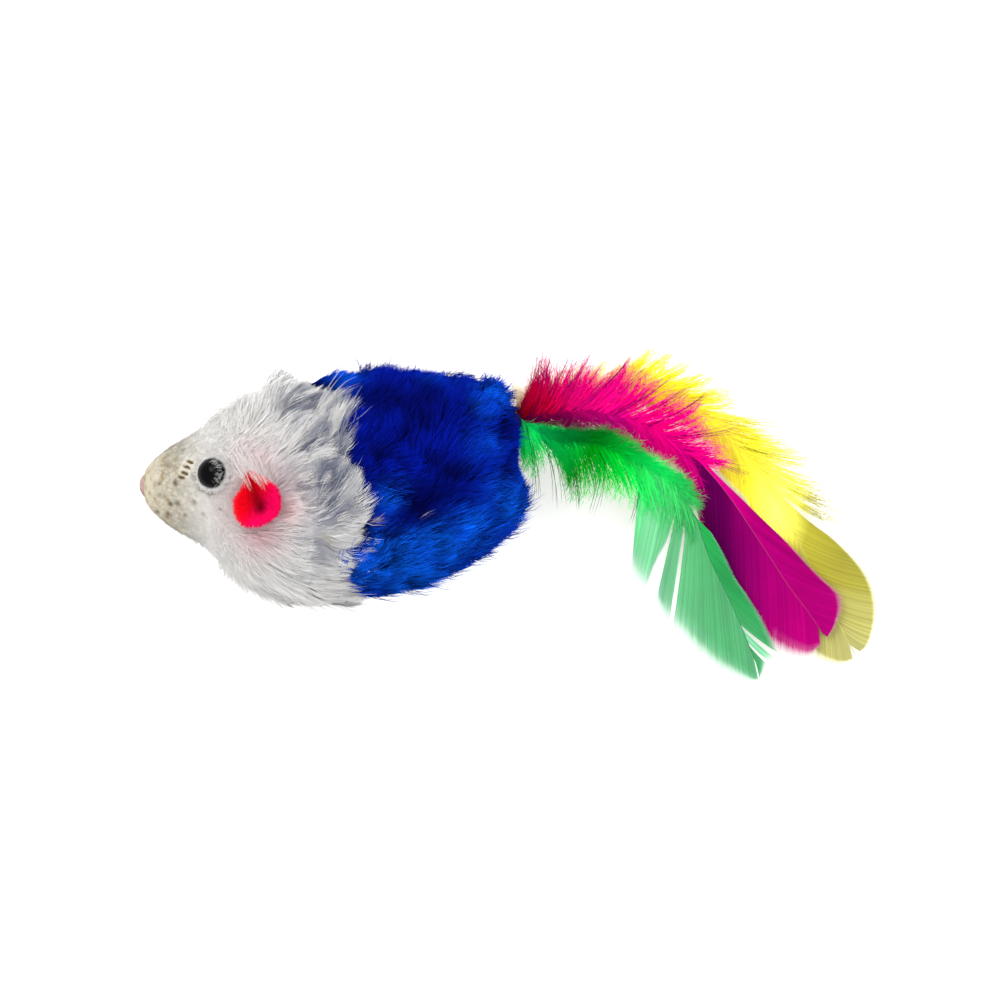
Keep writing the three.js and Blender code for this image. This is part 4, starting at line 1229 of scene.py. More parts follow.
def earColors(tree, root, tip):
    pink, fold, pale = (readAttribute(tree, label) for label in ("pink", "fold", "pale"))
    tip = mixColors(tree, pale, tip, ear["paleColor"])
    colors = [mixColors(tree, pink, color, ear["pinkColor"]) for color in (root, tip)]
    # painted shade in the ear's fold
    return [mixColors(tree, fold, color, ear["foldShadeColor"]) for color in colors]


# The ear is redder on the side of the nose and pinker towards the tail and the back
def earValues(x, y, share, tint, along):
    pink = smooth((x * ear["pinkWay"][0] + y * ear["pinkWay"][1]) / ear["pinkRun"] + ear["pinkStart"])
    edge = smooth((share - ear["paleFrom"]) / (1 - ear["paleFrom"]))
    return {
        "pink": pink * ear["pinkAmount"], "pale": edge * (1 - pink) * ear["paleAmount"],
        "fold": foldShare(x, y), "tint": tint, "alongFibre": along,
    }


def makeEars():
    draw = np.random.default_rng(ear["seed"])
    material = fibreMaterial("earPlush", ear["look"], earColors)
    angle = ringAngles(ear["around"])[None]
    share = np.linspace(0, 1, ear["rings"] + 1)[1:, None]
    upper, lower = earPoint(share, angle, face["earWall"]), earPoint(share[::-1] * ear["lower"], angle, 0)
    rows = np.concatenate([upper, lower])
    middle = earPoint(np.array(0.0), np.array(0.0), face["earWall"])
    skin = (rows, middle, np.array([0, 0, -face["earNeck"]]))
    x, y = (np.append(rows[..., axis], [0, 0]) for axis in (0, 1))
    half = np.full(len(x), 0.5)
    skinValues = earValues(x, y, half, half, np.full(len(x), ear["skinAlong"]))
    count = ear["pileCount"]
    share, angle = np.sqrt(draw.uniform(0, 1, count)), draw.uniform(0, 2 * np.pi, count)
    upper = draw.random(count) < ear["upperShare"]
    root = earPoint(share, angle, np.where(upper, face["earWall"], 0))
    outwards = unit(root * [1, 1, 0] + 1e-9)
    away = np.where(upper, 1.0, -ear["lowerRise"])[:, None] * [0, 0, 1]
    inner, gain = ear["lean"]
    comb = outwards * (inner + gain * share[:, None] ** 4) + away * ear["rise"]
    comb = comb + draw.normal(scale=ear["stray"], size=root.shape)
    short = ear["shortMiddle"]
    length = ear["pileLength"] * draw.uniform(*ear["lengthVary"], count) * (1 - short + short * share)
    step = np.linspace(0, 1, ear["pileSteps"])[None, :, None]
    lines = root[:, None] + unit(comb)[:, None] * (length[:, None, None] * step)
    tuft = sortTufts(root, ear["tufts"], draw)
    lines = pullTufts(lines, tuft, ear["tuftPull"])
    own = draw.uniform(0, 1, count) * (1 - ear["tuftTint"])
    tint = own + draw.uniform(0, 1, ear["tufts"])[tuft] * ear["tuftTint"]
    along = np.broadcast_to(step[..., 0], (count, ear["pileSteps"]))
    values = earValues(root[:, 0], root[:, 1], share, tint, along)
    bundle = strands(lines, ear["pileRadius"], ear["taper"], draw)
    placed = (turnTo(part, earNormal) + earSeat for part in (*skin, lines))
    for side, (*cup, hair), turn in flanks(*placed):
        hair[..., 2] = np.maximum(hair[..., 2], ear["pileRadius"])
        owner = f"{side}_ear"
        mesh = skinMesh(f"{side}EarCup", *cup, skinValues)
        newPiece(f"{side}EarCup", mesh, material, owner, (owner,))
        mesh = fibreMesh(f"{side}EarPile", hair, *bundle, values, earNormal * turn)
        newPiece(f"{side}EarPile", mesh, material, owner)


makeEars()


# Nose: a small dome of pink flock, pressed onto the snout

nose = {
    "radius": 1.7 * mm, "height": 0.95 * mm, "sink": 0.35 * mm, "back": 0.3 * mm, "rings": 14, "around": 40,
    "pileCount": 1400, "pileSteps": 3, "pileLength": 0.22 * mm, "pileRadius": 0.035 * mm,
    "taper": [1, 0.8, 0.2], "stray": 0.35, "rimShare": 0.05, "skinAlong": 0.4, "seed": 31,
    "look": {
        "root": (0.6, 0.34, 0.31, 1), "tip": (0.78, 0.62, 0.57, 1), "sharpness": 0.8, "tint": 0.4,
        "patchScale": 900.0, "patch": 0.5, "glow": 0.3, "specular": 0.25,
    },
}


def makeNose():
    draw = np.random.default_rng(nose["seed"])
    material = fibreMaterial("nosePlush", nose["look"])
    seat = clothPoint(np.array(0.0), np.array(0.0)) + [nose["sink"], 0, 0]

    # Dome: the distance from the axis goes with the cosine of the swing and the height with its sine
    def domePoint(swing, angle):
        radius = nose["radius"] * np.cos(swing)
        height = -nose["height"] * np.sin(swing) + 0 * angle
        return np.stack([height, radius * np.cos(angle), radius * np.sin(angle)], -1) + seat

    swing = np.linspace(np.pi / 2, 0, nose["rings"] + 1)[1:, None]
    angle = ringAngles(nose["around"])[None]
    rows = domePoint(swing, angle)
    rows = np.concatenate([rows, rows[-1:] + [nose["back"], 0, 0]])
    total = rows.size // 3 + 2
    values = {"alongFibre": np.full(total, nose["skinAlong"]), "tint": np.full(total, 0.5)}
    tip = domePoint(np.array(np.pi / 2), np.array(0.0))
    mesh = skinMesh("noseDome", rows, tip, seat + [nose["back"], 0, 0], values)
    newPiece("noseDome", mesh, material, "mouse", ("nose",))
    count = nose["pileCount"]
    swing = np.arcsin(draw.uniform(nose["rimShare"], 1, count))
    root = domePoint(swing, draw.uniform(0, 2 * np.pi, count))
    comb = unit(unit(root - seat) + draw.normal(scale=nose["stray"], size=root.shape))
    step = np.linspace(0, 1, nose["pileSteps"])[None, :, None]
    lines = root[:, None] + comb[:, None] * nose["pileLength"] * step
    bundle = strands(lines, nose["pileRadius"], nose["taper"], draw)
    along = np.broadcast_to(step[..., 0], lines.shape[:2])
    values = {"alongFibre": along, "tint": draw.uniform(0, 1, count)}
    mesh = fibreMesh("noseFlock", lines, *bundle, values, comb)
    newPiece("noseFlock", mesh, material, "mouse")


makeNose()
print("face done")


# Feathers: guides from the quill to the tips of barbs, as pixels x and y of the one, then x and y of the
# other, and where given how much paler the barb is, or below zero how much painted shade it takes where it
# lies in shade. A lock has its count of barbs, the share of them where the soft fringe starts, how far they
# bow along the quill, and its guides. Stops are colours at shares of the way from the tail's root to the
# feather's end; the darker stops of the green and the magenta near the root are painted shade where the
# feathers leave the fur

feathers = [
    {
        "name": "green", "layer": 1, "seed": 41, "glow": 0.6,
        "quillPx": [
            (545, 430), (590, 440), (640, 460), (670, 480), (686, 500), (697, 521), (709, 556),
            (733, 606), (757, 663),
        ],
        "upperDown": [
            (535, 429, 550, 441, -0.5), (560, 433, 578, 440, -0.7), (580, 437, 603, 432, -0.6),
            (600, 444, 624, 434, -0.4), (625, 452, 648, 457, -0.2), (645, 463, 670, 471, 0),
            (665, 477, 692, 486, 0), (680, 492, 704, 510, 0.1),
        ],
        "lowerDown": [
            (514, 425, 519, 462, 0), (518, 427, 527, 484, 0), (523, 428, 542, 476, 0.1),
            (528, 429, 590, 470, -0.2), (540, 430, 580, 486, -0.3), (554, 431, 570, 505, -0.1),
            (567, 433, 585, 508, 0), (580, 437, 601, 502, -0.1), (597, 442, 624, 508, -0.1),
            (615, 448, 643, 518, 0), (635, 457, 657, 530, 0.1), (655, 469, 671, 546, 0.2),
            (672, 483, 686, 543, 0.2), (686, 500, 699, 548, 0.2),
        ],
        "hairs": [
            (524, 428, 537, 501), (540, 430, 559, 508), (560, 433, 578, 512), (600, 444, 592, 516),
            (640, 460, 630, 522),
        ],
        "locks": [
            (80, 0.75, 0.02, [
                (640, 460, 632, 560, 0.6), (650, 466, 631, 578, 0.7), (656, 470, 634, 586, 0.8),
                (662, 475, 638, 592, 0.8), (668, 479, 643, 596, 0.8), (672, 483, 650, 578, 0.7),
                (676, 487, 657, 562, 0.6), (680, 492, 664, 549, 0.5),
            ]),
            (60, 0.75, 0, [
                (681, 493, 655, 606, 0.7), (683, 496, 658, 616, 0.7), (685, 499, 662, 625, 0.7),
                (687, 502, 668, 631, 0.7),
            ]),
            (230, 0.78, 0.03, [
                (688, 504, 672, 636, 0.6), (692, 511, 684, 645, 0.5), (697, 521, 695, 656, 0.45),
                (703, 537, 706, 665, 0.4), (712, 562, 720, 674, 0.35), (722, 583, 733, 680, 0.35),
                (733, 606, 744, 684, 0.4), (745, 634, 753, 685, 0.4), (754, 656, 760, 683, 0.5),
            ]),
            (170, 0.75, 0.1, [
                (694, 515, 713, 534, 0), (700, 530, 726, 556, 0), (706, 546, 738, 580, 0),
                (714, 566, 752, 600, 0), (723, 585, 764, 619, 0), (733, 606, 774, 638, 0.1),
                (741, 625, 781, 654, 0.2),
            ]),
            (6, 0.6, 0.1, [
                (743, 630, 777, 660, 0.9), (748, 641, 772, 663, 0.8),
            ]),
            (40, 0.6, 0.1, [
                (750, 646, 769, 666, 0.3), (754, 656, 765, 674, 0.2), (757, 662, 761, 681, 0.3),
            ]),
        ],
        "stops": [
            (0, (0.0006, 0.25, 0.05)), (0.06, (0.006, 0.85, 0.2)), (0.14, (0.002, 0.7, 0.1)),
            (0.2, (0.0003, 0.5, 0.006)), (0.27, (0.0005, 0.8, 0.06)), (0.36, (0.01, 0.92, 0.2)),
            (0.5, (0.04, 0.62, 0.15)), (0.62, (0.05, 0.48, 0.14)), (1, (0.05, 0.47, 0.16)),
        ],
        "pale": (0.33, 0.68, 0.46), "shadeAndDarkColor": (0, 0.1, 0.02), "quillColor": (0.001, 0.13, 0.035, 1),
    },
    {
        "name": "magenta", "layer": 0, "seed": 42, "glow": 0.6,
        "quillPx": [
            (560, 411), (620, 416), (670, 438), (715, 478), (764, 547), (789, 585), (808, 610),
            (826, 636),
        ],
        "upperDown": [
            (511, 421, 540, 405, 0), (513, 420, 536, 388, -0.1), (518, 418, 535, 372, -0.25),
            (524, 416, 540, 358, -0.3), (534, 413, 549, 350, -0.25), (540, 412, 570, 347, -0.15),
            (550, 411, 580, 358, -0.1), (560, 411, 594, 350, -0.1), (570, 412, 604, 370, 0),
            (580, 413, 637, 352, -0.15), (590, 414, 622, 372, 0), (602, 415, 640, 372, 0),
            (614, 416, 662, 376, 0), (632, 421, 692, 394, 0), (650, 428, 703, 402, 0),
            (668, 437, 716, 424, 0), (684, 450, 726, 448, 0), (698, 461, 730, 468, 0),
        ],
        "lowerDown": [
            (512, 422, 545, 437, -0.75), (520, 420, 556, 443, -0.8), (530, 416, 566, 447, -0.8),
            (552, 411, 588, 446, -0.75), (577, 412, 614, 440, -0.4), (602, 414, 638, 450, -0.3),
            (624, 419, 655, 463, -0.2), (645, 426, 680, 471, -0.1), (665, 436, 697, 487, -0.1),
            (684, 450, 708, 510, -0.3),
        ],
        "hairs": [
            (518, 418, 536, 350), (520, 417, 541, 334), (526, 415, 552, 350), (532, 413, 572, 347),
            (540, 412, 582, 350), (548, 411, 594, 347), (560, 411, 604, 360), (576, 413, 634, 352),
            (590, 414, 650, 366), (612, 416, 676, 372), (632, 421, 694, 384), (650, 428, 712, 390),
            (668, 437, 740, 426), (684, 450, 754, 474),
        ],
        "locks": [
            (280, 0.8, 0.08, [
                (668, 437, 698, 512, -0.1), (684, 450, 702, 532, -0.5), (697, 461, 707, 553, -0.9),
                (712, 475, 714, 573, -0.95), (724, 491, 724, 592, -0.9), (734, 504, 736, 609, -0.7),
                (746, 521, 748, 624, -0.5), (757, 537, 760, 638, -0.35), (770, 556, 773, 650, -0.2),
                (783, 577, 787, 656, -0.1), (796, 595, 800, 659, 0), (808, 611, 812, 658, 0),
                (818, 627, 822, 648, 0),
            ]),
            (290, 0.88, 0.12, [
                (670, 438, 706, 462, 0), (684, 450, 722, 479, 0), (700, 463, 746, 502, 0),
                (718, 482, 772, 527, 0), (732, 502, 794, 547, 0), (747, 523, 815, 569, 0),
                (762, 545, 832, 585, 0), (777, 567, 845, 597, 0), (790, 586, 846, 607, 0),
                (803, 604, 843, 617, 0), (815, 621, 837, 629, 0), (823, 633, 830, 638, 0),
            ]),
        ],
        "stops": [
            (0, (0.03, 0, 0.001)), (0.05, (0.5, 0, 0.008)), (0.1, (0.85, 0, 0.06)),
            (0.16, (0.94, 0.003, 0.3)), (0.24, (0.96, 0.003, 0.4)), (0.34, (0.95, 0.0003, 0.36)),
            (0.5, (0.95, 0.0003, 0.42)), (0.62, (0.6, 0.0005, 0.28)), (0.8, (0.56, 0.001, 0.24)),
            (1, (0.6, 0.002, 0.28)),
        ],
        "pale": (0.85, 0.5, 0.68), "shadeAndDarkColor": (0.1, 0, 0.085), "quillColor": (0.28, 0.001, 0.08, 1),
    },
    {
        "name": "yellow", "layer": -1, "seed": 43, "glow": 0.25,
        "quillPx": [
            (560, 397), (620, 388), (680, 400), (735, 440), (780, 505), (812, 565), (834, 611),
            (858, 656),
        ],
        "upperDown": [
            (517, 415, 507, 383), (521, 412, 529, 380), (540, 402, 560, 372), (565, 395, 601, 360),
            (590, 391, 634, 366), (606, 389, 655, 345), (622, 388, 676, 350), (640, 389, 700, 368),
            (660, 393, 726, 378), (685, 403, 748, 398), (705, 416, 773, 426), (722, 430, 803, 446),
            (738, 446, 824, 462), (752, 463, 840, 503), (765, 482, 846, 532),
        ],
        "lowerDown": [
            (560, 397, 590, 415), (590, 391, 625, 410), (620, 388, 655, 410), (650, 391, 690, 425),
            (680, 400, 710, 445), (710, 420, 735, 470), (735, 440, 752, 495),
        ],
        "hairs": [
            (518, 414, 512, 380), (610, 389, 682, 346), (705, 416, 788, 424), (738, 446, 834, 465),
            (752, 463, 850, 520),
        ],
        "locks": [
            (290, 0.93, 0.08, [
                (700, 412, 722, 478, 0), (720, 428, 735, 492, 0), (738, 446, 748, 505, 0),
                (760, 475, 762, 560, 0), (783, 511, 783, 602, 0), (797, 536, 798, 636, 0),
                (808, 556, 812, 654, 0.1), (818, 577, 824, 664, 0.15), (828, 599, 837, 668, 0.15),
                (838, 620, 848, 667, 0.15), (850, 640, 856, 662, 0.2),
            ]),
            (290, 0.97, 0.12, [
                (742, 450, 775, 490, 0), (755, 466, 797, 510, -0.1), (768, 485, 818, 527, -0.1),
                (781, 507, 839, 541, -0.05), (793, 529, 857, 557, 0), (805, 551, 871, 573, 0),
                (815, 572, 879, 590, 0), (825, 593, 882, 609, 0.1), (835, 614, 879, 630, 0.1),
                (845, 632, 871, 648, 0.15), (852, 645, 864, 653, 0.2),
            ]),
        ],
        "stops": [
            (0, (0.85, 0.7, 0.5)), (0.1, (0.98, 0.8, 0.55)), (0.24, (1, 0.86, 0.25)),
            (0.34, (1, 0.84, 0.02)), (0.44, (1, 0.9, 0.03)), (0.5, (0.94, 0.78, 0.06)),
            (0.58, (0.85, 0.78, 0.04)), (0.66, (0.98, 0.94, 0.15)), (0.7, (0.85, 0.82, 0.12)),
            (0.75, (0.42, 0.38, 0.04)), (0.85, (0.33, 0.3, 0.04)), (1, (0.34, 0.32, 0.06)),
        ],
        "pale": (1, 0.98, 0.62), "shadeAndDarkColor": (0.42, 0.36, 0.01), "quillColor": (0.5, 0.45, 0.06, 1),
    },
]

barb = {
    "steps": 8, "fringePale": 1.1, "facing": (0.0, 0.0, 1.0), "samples": 600, "ahead": 0.01,
    "look": {
        "root": None, "tip": None, "sharpness": 1.2, "tint": 0.45, "patchScale": 160.0, "patch": 0.15,
        "specular": 0.01,
    },
    "quill": {
        "rows": 90, "around": 12, "taper": 4, "darker": 0.7,
        "look": {"scale": 500.0, "coarse": 0.5, "bump": 0.1, "rougher": 0.2},
    },
    # blades of the vane: their share of the step between two, limits of it, and how they vary and stand
    "vane": {
        "width": 0.72, "widest": 0.6 * mm, "thinnest": 0.025 * mm, "thickness": 0.04 * mm, "thinned": 0.85,
        "ragged": 0.2, "widthVary": (0.9, 1.1), "tintVary": (0.1, 0.9), "unevenness": 0.02 * mm,
        "crown": 0.1 * mm,
    },
    # barbs of the down: some stay near the quill as a core. Their reaches, and how they vary, bend and thin
    "down": {
        "steps": 6, "count": 720, "coreShare": 0.55, "coreReach": (0.35, 0.9), "reach": (0.85, 1.14),
        "waveReach": 0.12, "waveSize": 5 * mm, "stray": 0.8 * mm, "bow": 0.2, "bowVary": 0.12,
        "cross": 1.1 * mm, "spread": 0.75, "opening": 2, "tufts": 26, "pull": (0.15, 0.65),
        "width": 0.085 * mm, "thinned": 0.85, "thinning": 1.6, "thinFrom": 0.5, "along": 0.6,
    },
    "barbule": {
        "count": 8, "from": 0.06, "to": 0.97, "length": 2.1 * mm, "lengthVary": (0.5, 1.15),
        "lengths": (1.15, 0.6), "angle": 0.55, "angleVary": (0.4, 1.4), "stray": 0.18, "curl": 0.12,
        "strayWays": [1, 1, 0.6], "curlWays": [1, 1, 0.3], "clear": 0.1 * mm, "across": [0.3, 0.2, 1],
        "radius": 0.032 * mm, "taper": [1, 0.75, 0.2], "along": 0.7, "tintShare": 0.6,
    },
    "hair": {
        "copies": 5, "spread": 5.0, "spreads": [0.7, 0, 0.6, 0.6], "bow": 0.12, "rise": 0.4 * mm,
        "radius": 0.08 * mm, "thinned": 0.7, "across": [0, 0.1, 1], "value": 0.2, "tone": -0.75,
    },
}


def layerPitch(distance):
    rise = smooth((distance - tail["knotRadius"]) / tail["spreadRun"])
    stay = fadeFrom(distance / tail["reach"], tail["closeFrom"], tail["closeRun"])
    return tail["rootPitch"] + (tail["downPitch"] - tail["rootPitch"]) * rise * stay


# A flat point of a feather on its layer: the layer's share of the pitch, less the droop, plus its own rise
def onLayer(flat, layer, rise):
    distance = norm(flat - tailRoot[:2], axis=-1)
    droop = tail["drop"] * (distance / tail["reach"]) ** tail["dropPower"]
    height = tailRoot[2] + layer * layerPitch(distance) - droop + rise
    return np.concatenate([flat, height[..., None]], -1)


def spineFlat(plan, shares):
    points = np.concatenate([tailRoot[None, :2], fromPixel(*np.array(plan["quillPx"]).T)])
    return evenPath(points, shares)


# Guides are read as smooth paths: where barbs leave the quill, where their tips lie, and how pale they are
def readGuides(plan, guides, places):
    guides = np.array(guides, float)
    fine = np.linspace(0, 1, barb["samples"])
    nearest = nearestOf(fromPixel(guides[:, 0], guides[:, 1]), spineFlat(plan, fine))
    even = np.linspace(0, 1, len(guides))
    inner = np.interp(places, even, np.maximum.accumulate(fine[nearest]))
    tone = np.interp(places, even, guides[:, 4]) if guides.shape[1] > 4 else 0 * places
    return inner, smoothPath(fromPixel(guides[:, 2], guides[:, 3]), places), tone


# Barb line: a curve of second order from the quill, first along it, then over to the tip
def barbLines(plan, inner, tips, bow, steps):
    start = spineFlat(plan, inner)
    after, before = (spineFlat(plan, np.clip(inner + way * barb["ahead"], 0, 1)) for way in (1, -1))
    reach = norm(tips - start, axis=-1, keepdims=True)
    bend = (start + tips) / 2 + unit(after - before) * reach * bow
    share = np.linspace(0, 1, steps)[None, :, None]
    middle = bend[:, None] * 2 * share * (1 - share)
    return start[:, None] * (1 - share) ** 2 + middle + tips[:, None] * share ** 2


def featherMaterial(plan):
    def recolor(tree, root, tip):
        ramp = addNode(tree, "ShaderNodeValToRGB", {"Fac": readAttribute(tree, "alongFeather")})
        stops = ramp.color_ramp.elements
        while len(stops) < len(plan["stops"]):
            stops.new(0.5)
        for stop, (place, color) in zip(stops, plan["stops"]):
            stop.position = place
            stop.color = (*color, 1)
        # painted shade where the down and vane lie in shade, and the hairs' own darker tone
        base = mixColors(tree, readAttribute(tree, "shadeAndDarkTone"), ramp.outputs["Color"], (*plan["shadeAndDarkColor"], 1))
        base = mixColors(tree, readAttribute(tree, "paleness"), base, (*plan["pale"], 1))
        return base, base

    return fibreMaterial(f"{plan['name']}Barbs", {**barb["look"], "glow": plan["glow"]}, recolor)


def barbValues(lines, along, tint, tone):
    share = norm(lines[..., :2] - tailRoot[:2], axis=-1) / tail["reach"]
    return {
        "alongFibre": along, "tint": tint, "alongFeather": share,
        "paleness": np.clip(tone, 0, 1), "shadeAndDarkTone": np.clip(-tone, 0, 1),
    }


# Every mass of barbs rides on its feather, and the node that it stands for is that feather's own
def addBarbs(plan, suffix, material, lines, wide, thick, across, values, node=None):
    name, owner = f"{plan['name']}{suffix}", f"{plan['name']}_feather"
    mesh = fibreMesh(name, lines, wide, thick, across, values, barb["facing"], twoSided=True)
    newPiece(name, mesh, material, owner, (f"{plan['name']}_{node}",) if node else ())


# Quill: rings about the spine whose radius falls with the share of the way
def makeQuill(plan):
    quill = barb["quill"]
    shares = np.linspace(0, 1, quill["rows"])
    center = spineFlat(plan, shares)
    tangent = unit(np.gradient(center, axis=0))
    across = np.stack([-tangent[:, 1], tangent[:, 0]], -1)
    radius = tail["quillTip"] + (tail["quillRadius"] - tail["quillTip"]) * (1 - shares) ** quill["taper"]
    angle = ringAngles(quill["around"])
    flat = center[:, None] + across[:, None] * (radius[:, None] * np.cos(angle))[..., None]
    sink = tail["quillSink"] * (shares < 0.5)[:, None]
    rows = onLayer(flat, plan["layer"], radius[:, None] * np.sin(angle) - sink)
    ends = onLayer(center[[0, -1]], plan["layer"], 0)
    darker = tuple(part * quill["darker"] for part in plan["quillColor"][:3])
    look = {**quill["look"], "low": (*darker, 1), "high": plan["quillColor"]}
    name = plan["name"]
    newPiece(f"{name}Rachis", skinMesh(f"{name}Rachis", rows, *ends), grainMaterial(f"{name}Quill", look),
             f"{name}_feather", (f"{name}_quill",))


# Vane: each barb is a flat blade as wide as the step to its neighbour, thinned to a hair in the fringe
def makeVane(plan, material, draw):
    vane, parts = barb["vane"], []
    share = np.linspace(0, 1, barb["steps"])[None]
    for count, fringeFrom, bow, guides in plan["locks"]:
        inner, tips, tone = readGuides(plan, guides, np.linspace(0, 1, count))
        start = spineFlat(plan, inner)
        tips = start + (tips - start) * draw.uniform(1 - (1 - fringeFrom) * vane["ragged"], 1, (count, 1))
        flat = barbLines(plan, inner, tips, bow, barb["steps"])
        tangent = unit(np.gradient(flat, axis=1))
        across = np.stack([-tangent[..., 1], tangent[..., 0]], -1)
        pitch = np.abs(dot(np.gradient(flat, axis=0), across))[..., 0]
        thin = smooth((share - fringeFrom) / (1 - fringeFrom))
        wide = np.minimum(pitch, vane["widest"]) * vane["width"] * (1 - vane["thinned"] * thin)
        wide = np.maximum(wide, vane["thinnest"]) * draw.uniform(*vane["widthVary"], (count, 1))
        rise = draw.uniform(-1, 1, (count, 1)) * vane["unevenness"] + vane["crown"] * np.sin(share * np.pi)
        parts.append((
            onLayer(flat, plan["layer"], rise), wide, np.concatenate([across, 0 * across[..., :1]], -1),
            draw.uniform(*vane["tintVary"], count), tone[:, None] + barb["fringePale"] * thin,
        ))
    lines, wide, across, tint, tone = (np.concatenate(part) for part in zip(*parts))
    values = barbValues(lines, np.broadcast_to(share, wide.shape), tint, tone)
    addBarbs(plan, "Vane", material, lines, wide, 0 * wide + vane["thickness"], across, values, "vane")


# Barbules: fine hairs that leave each barb by turns to its right and left, bent a little, inside the layer
def barbules(lines, tangent, sideways, layer, draw):
    plan, steps = barb["barbule"], lines.shape[1]
    shares = np.linspace(plan["from"], plan["to"], plan["count"])
    place = shares * (steps - 1)
    index = np.minimum(place.astype(int), steps - 2)
    step = (place - index)[None, :, None]
    root = lines[:, index] * (1 - step) + lines[:, index + 1] * step
    side = np.where(np.arange(plan["count"]) % 2, 1.0, -1.0)[None, :, None]
    swing = plan["angle"] * draw.uniform(*plan["angleVary"], root.shape[:2])[..., None]
    comb = tangent[:, index] * np.cos(swing) + sideways[:, index] * side * np.sin(swing)
    comb = comb + draw.normal(scale=plan["stray"], size=comb.shape) * plan["strayWays"]
    first, less = plan["lengths"]
    length = plan["length"] * draw.uniform(*plan["lengthVary"], root.shape[:2]) * (first - less * shares)
    reach = np.linspace(0, 1, len(plan["taper"]))[None, None, :, None]
    curl = draw.normal(scale=plan["curl"], size=(*root.shape[:2], 1, 3)) * plan["curlWays"]
    fine = root[:, :, None] + length[..., None, None] * (comb[:, :, None] * reach + curl * reach ** 2)
    fine = fine.reshape(-1, *fine.shape[2:])
    distance = norm(fine[..., :2] - tailRoot[:2], axis=-1)
    middle = onLayer(fine[..., :2], layer, 0)[..., 2]
    room = (layerPitch(distance) - tail["layerGap"] / 2) / 2
    fine[..., 2] = np.maximum(np.clip(fine[..., 2], middle - room, middle + room), plan["clear"])
    return fine, shares


# Down: soft barbs spread through the layer's thickness and drawn into tufts, wide where they start and
# thin where they end, with barbules along both of their sides
def makeDown(plan, material, draw):
    down, layer, parts = barb["down"], plan["layer"], []
    steps, count = down["steps"], down["count"]
    share = np.linspace(0, 1, steps)[None]
    for guides in (plan["upperDown"], plan["lowerDown"]):
        inner, tips, tone = readGuides(plan, guides, np.sort(draw.uniform(0, 1, count)))
        start = spineFlat(plan, inner)
        core = draw.random((count, 1)) < down["coreShare"]
        near = draw.uniform(*down["coreReach"], (count, 1))
        reach = np.where(core, near, draw.uniform(*down["reach"], (count, 1)))
        cloud = waves(np.append(start, 0 * start[:, :1], 1), down["waveSize"], plan["seed"])
        reach = reach * (1 + down["waveReach"] * cloud[:, None])
        way = tips - start
        tips = start + way * reach + draw.normal(scale=down["stray"], size=(count, 2))
        bow = down["bow"] + draw.normal(scale=down["bowVary"], size=(count, 1))
        back = unit(way) * draw.uniform(0, down["cross"], (count, 1)) * core
        flat = barbLines(plan, inner, tips, bow, steps) - back[:, None] * (1 - share[..., None])
        room = (layerPitch(norm(flat - tailRoot[:2], axis=-1)) - tail["layerGap"]) / 2
        rise = draw.uniform(-1, 1, (count, 1)) * room * down["spread"] * smooth(share * down["opening"])
        lines = onLayer(flat, layer, rise)
        tuft = nearestOf(lines[:, 0], lines[:: count // down["tufts"], 0])
        lines[..., :2] = pullTufts(lines, tuft, np.where(core, *down["pull"])[..., None])[..., :2]
        parts.append((lines, draw.uniform(0, 1, count), tone))
    lines, tint, tone = (np.concatenate(part) for part in zip(*parts))
    tangent = unit(np.gradient(lines, axis=1))
    sideways = unit(np.cross(tangent, [0.0, 0.0, 1.0]))
    fine, shares = barbules(lines, tangent, sideways, layer, draw)
    along = np.broadcast_to(share, lines.shape[:2])
    wide = down["width"] * (1 - down["thinned"] * smooth(along * down["thinning"] - down["thinFrom"]))
    values = barbValues(lines, along * down["along"], tint, tone[:, None])
    addBarbs(plan, "DownBarbs", material, lines, wide, wide / 2, sideways, values, "down")
    barbule = barb["barbule"]
    radius = np.broadcast_to(np.array(barbule["taper"]) * barbule["radius"], fine.shape[:2])
    across = np.broadcast_to(barbule["across"], fine.shape)
    own = barbule["tintShare"]
    tint = np.repeat(tint, barbule["count"]) * own + draw.uniform(0, 1 - own, len(fine))
    tone = np.repeat(tone, barbule["count"])[:, None]
    values = barbValues(fine, np.tile(shares, len(lines)) * barbule["along"], tint, tone)
    addBarbs(plan, "Down", material, fine, radius, radius, across, values)


def makeHairs(plan, material, draw):
    hair = barb["hair"]
    guides = np.repeat(np.array(plan["hairs"], float), hair["copies"], axis=0)
    guides = guides + draw.normal(scale=hair["spread"], size=guides.shape) * hair["spreads"]
    guides = guides[np.argsort(guides[:, 0])]
    inner = readGuides(plan, guides, np.linspace(0, 1, len(guides)))[0]
    flat = barbLines(plan, inner, fromPixel(guides[:, 2], guides[:, 3]), hair["bow"], barb["steps"])
    lines = onLayer(flat, plan["layer"], draw.uniform(-1, 1, (len(flat), 1)) * hair["rise"])
    taper = 1 - hair["thinned"] * np.linspace(0, 1, barb["steps"])
    wide = np.broadcast_to(hair["radius"] * taper, lines.shape[:2])
    across = np.broadcast_to(hair["across"], lines.shape)
    value, tone = (np.full(wide.shape, hair[label]) for label in ("value", "tone"))
    addBarbs(plan, "Hairs", material, lines, wide, wide, across, barbValues(lines, value, value, tone))


for plan in feathers:
    draw = np.random.default_rng(plan["seed"])
    barbMaterial = featherMaterial(plan)
    makeQuill(plan)
    makeVane(plan, barbMaterial, draw)
    makeDown(plan, barbMaterial, draw)
    makeHairs(plan, barbMaterial, draw)
    print(f"{plan['name']} feather done")


# Stuffing: the solid's own form, cut finer and pressed in by a random field so that it is lumpy

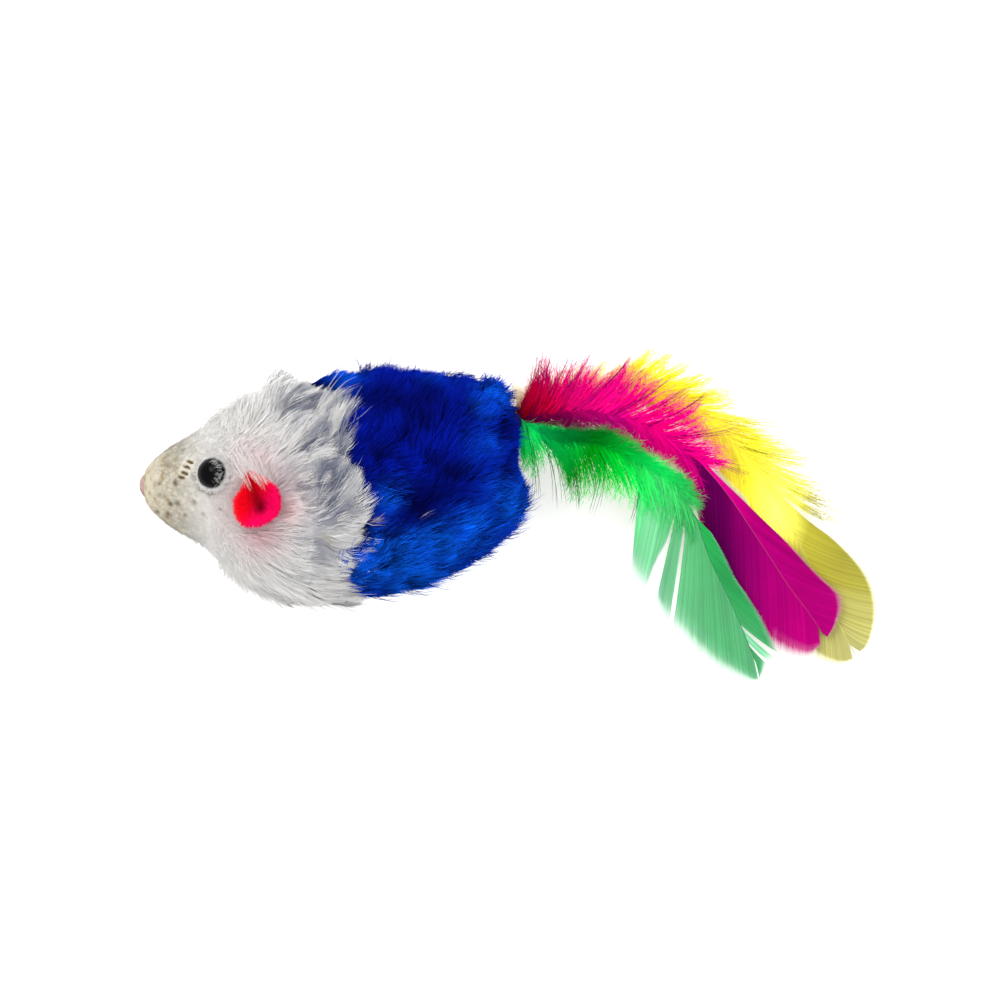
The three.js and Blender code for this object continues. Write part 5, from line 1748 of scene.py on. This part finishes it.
stuffing = {"cuts": 2, "weld": 0.001 * mm, "lumpDepth": 0.35 * mm, "lumpSize": 3 * mm, "seed": 51}
hidden = {
    "wadding": {"scale": 600.0, "coarse": 0.6, "bump": 0.8, "rougher": 0.5,
                "low": (0.72, 0.71, 0.68, 1), "high": (0.88, 0.87, 0.84, 1)},
    "thread": {"scale": 2600.0, "coarse": 0.2, "bump": 0.7, "rougher": 0.35,
               "low": (0.5, 0.48, 0.44, 1), "high": (0.72, 0.69, 0.63, 1)},
    "glue": {"scale": 350.0, "coarse": 0.7, "bump": 0.25, "rougher": -0.1, "coat": 0.3,
             "low": (0.6, 0.52, 0.32, 1), "high": (0.72, 0.66, 0.48, 1)},
    # painted shade: the binding is near black so that it stands for the dark shade where the feathers leave
    # the fur
    "knotShade": {"scale": 1500.0, "coarse": 0.4, "bump": 0.8, "rougher": 0.4, "specular": 0.02,
             "low": (0.002, 0.003, 0.02, 1), "high": (0.006, 0.01, 0.08, 1)},
    "capsule_plastic": {"scale": 420.0, "coarse": 0.5, "bump": 0.1, "rougher": -0.05, "coat": 0.2,
                        "low": (0.66, 0.72, 0.76, 1), "high": (0.74, 0.79, 0.83, 1)},
    "bead_plastic": {"scale": 800.0, "coarse": 0.5, "bump": 0.15, "rougher": -0.1, "coat": 0.3,
                     "low": (0.22, 0.23, 0.24, 1), "high": (0.3, 0.31, 0.32, 1)},
}


def makeStuffing(name, node):
    mesh = frame["nodes"][node].data.copy()
    mesh.name = name
    mesh.materials.clear()
    shape = bmesh.new()
    shape.from_mesh(mesh)
    bmesh.ops.remove_doubles(shape, verts=shape.verts, dist=stuffing["weld"])
    bmesh.ops.subdivide_edges(shape, edges=shape.edges, cuts=stuffing["cuts"], use_grid_fill=True)
    shape.to_mesh(mesh)
    shape.free()
    points, normals = np.empty((2, len(mesh.vertices) * 3))
    mesh.vertices.foreach_get("co", points)
    mesh.vertex_normals.foreach_get("vector", normals)
    points, normals = points.reshape(-1, 3), normals.reshape(-1, 3)
    lumps = waves(points, stuffing["lumpSize"], stuffing["seed"])[:, None] * 0.5 + 0.5
    mesh.vertices.foreach_set("co", (points - normals * lumps * stuffing["lumpDepth"]).ravel())
    mesh.update()
    piece = newPiece(name, mesh, grainMaterial(name, hidden["wadding"]), "mouse", (node,))


makeStuffing("frontWadding", "stuffing_front")
makeStuffing("rearWadding", "stuffing_rear")

nodeLooks = {
    "thread": ("waist_seam", "head_seam", "rear_seam"),
    "glue": ("tail_glue", "right_eye_glue", "left_eye_glue", "right_ear_glue", "left_ear_glue"),
    "knotShade": ("tail_binding",),
    "capsule_plastic": ("capsule_front", "capsule_rear"),
    "bead_plastic": ("rattle_bead_1", "rattle_bead_2", "rattle_bead_3"),
}
for label, nodes in nodeLooks.items():
    material = grainMaterial(label, hidden[label])
    for node in nodes:
        solid = frame["nodes"][node]
        if solid.material_slots:
            for place in solid.material_slots:
                place.material = material
        else:
            solid.data.materials.append(material)
print("hidden pieces done")
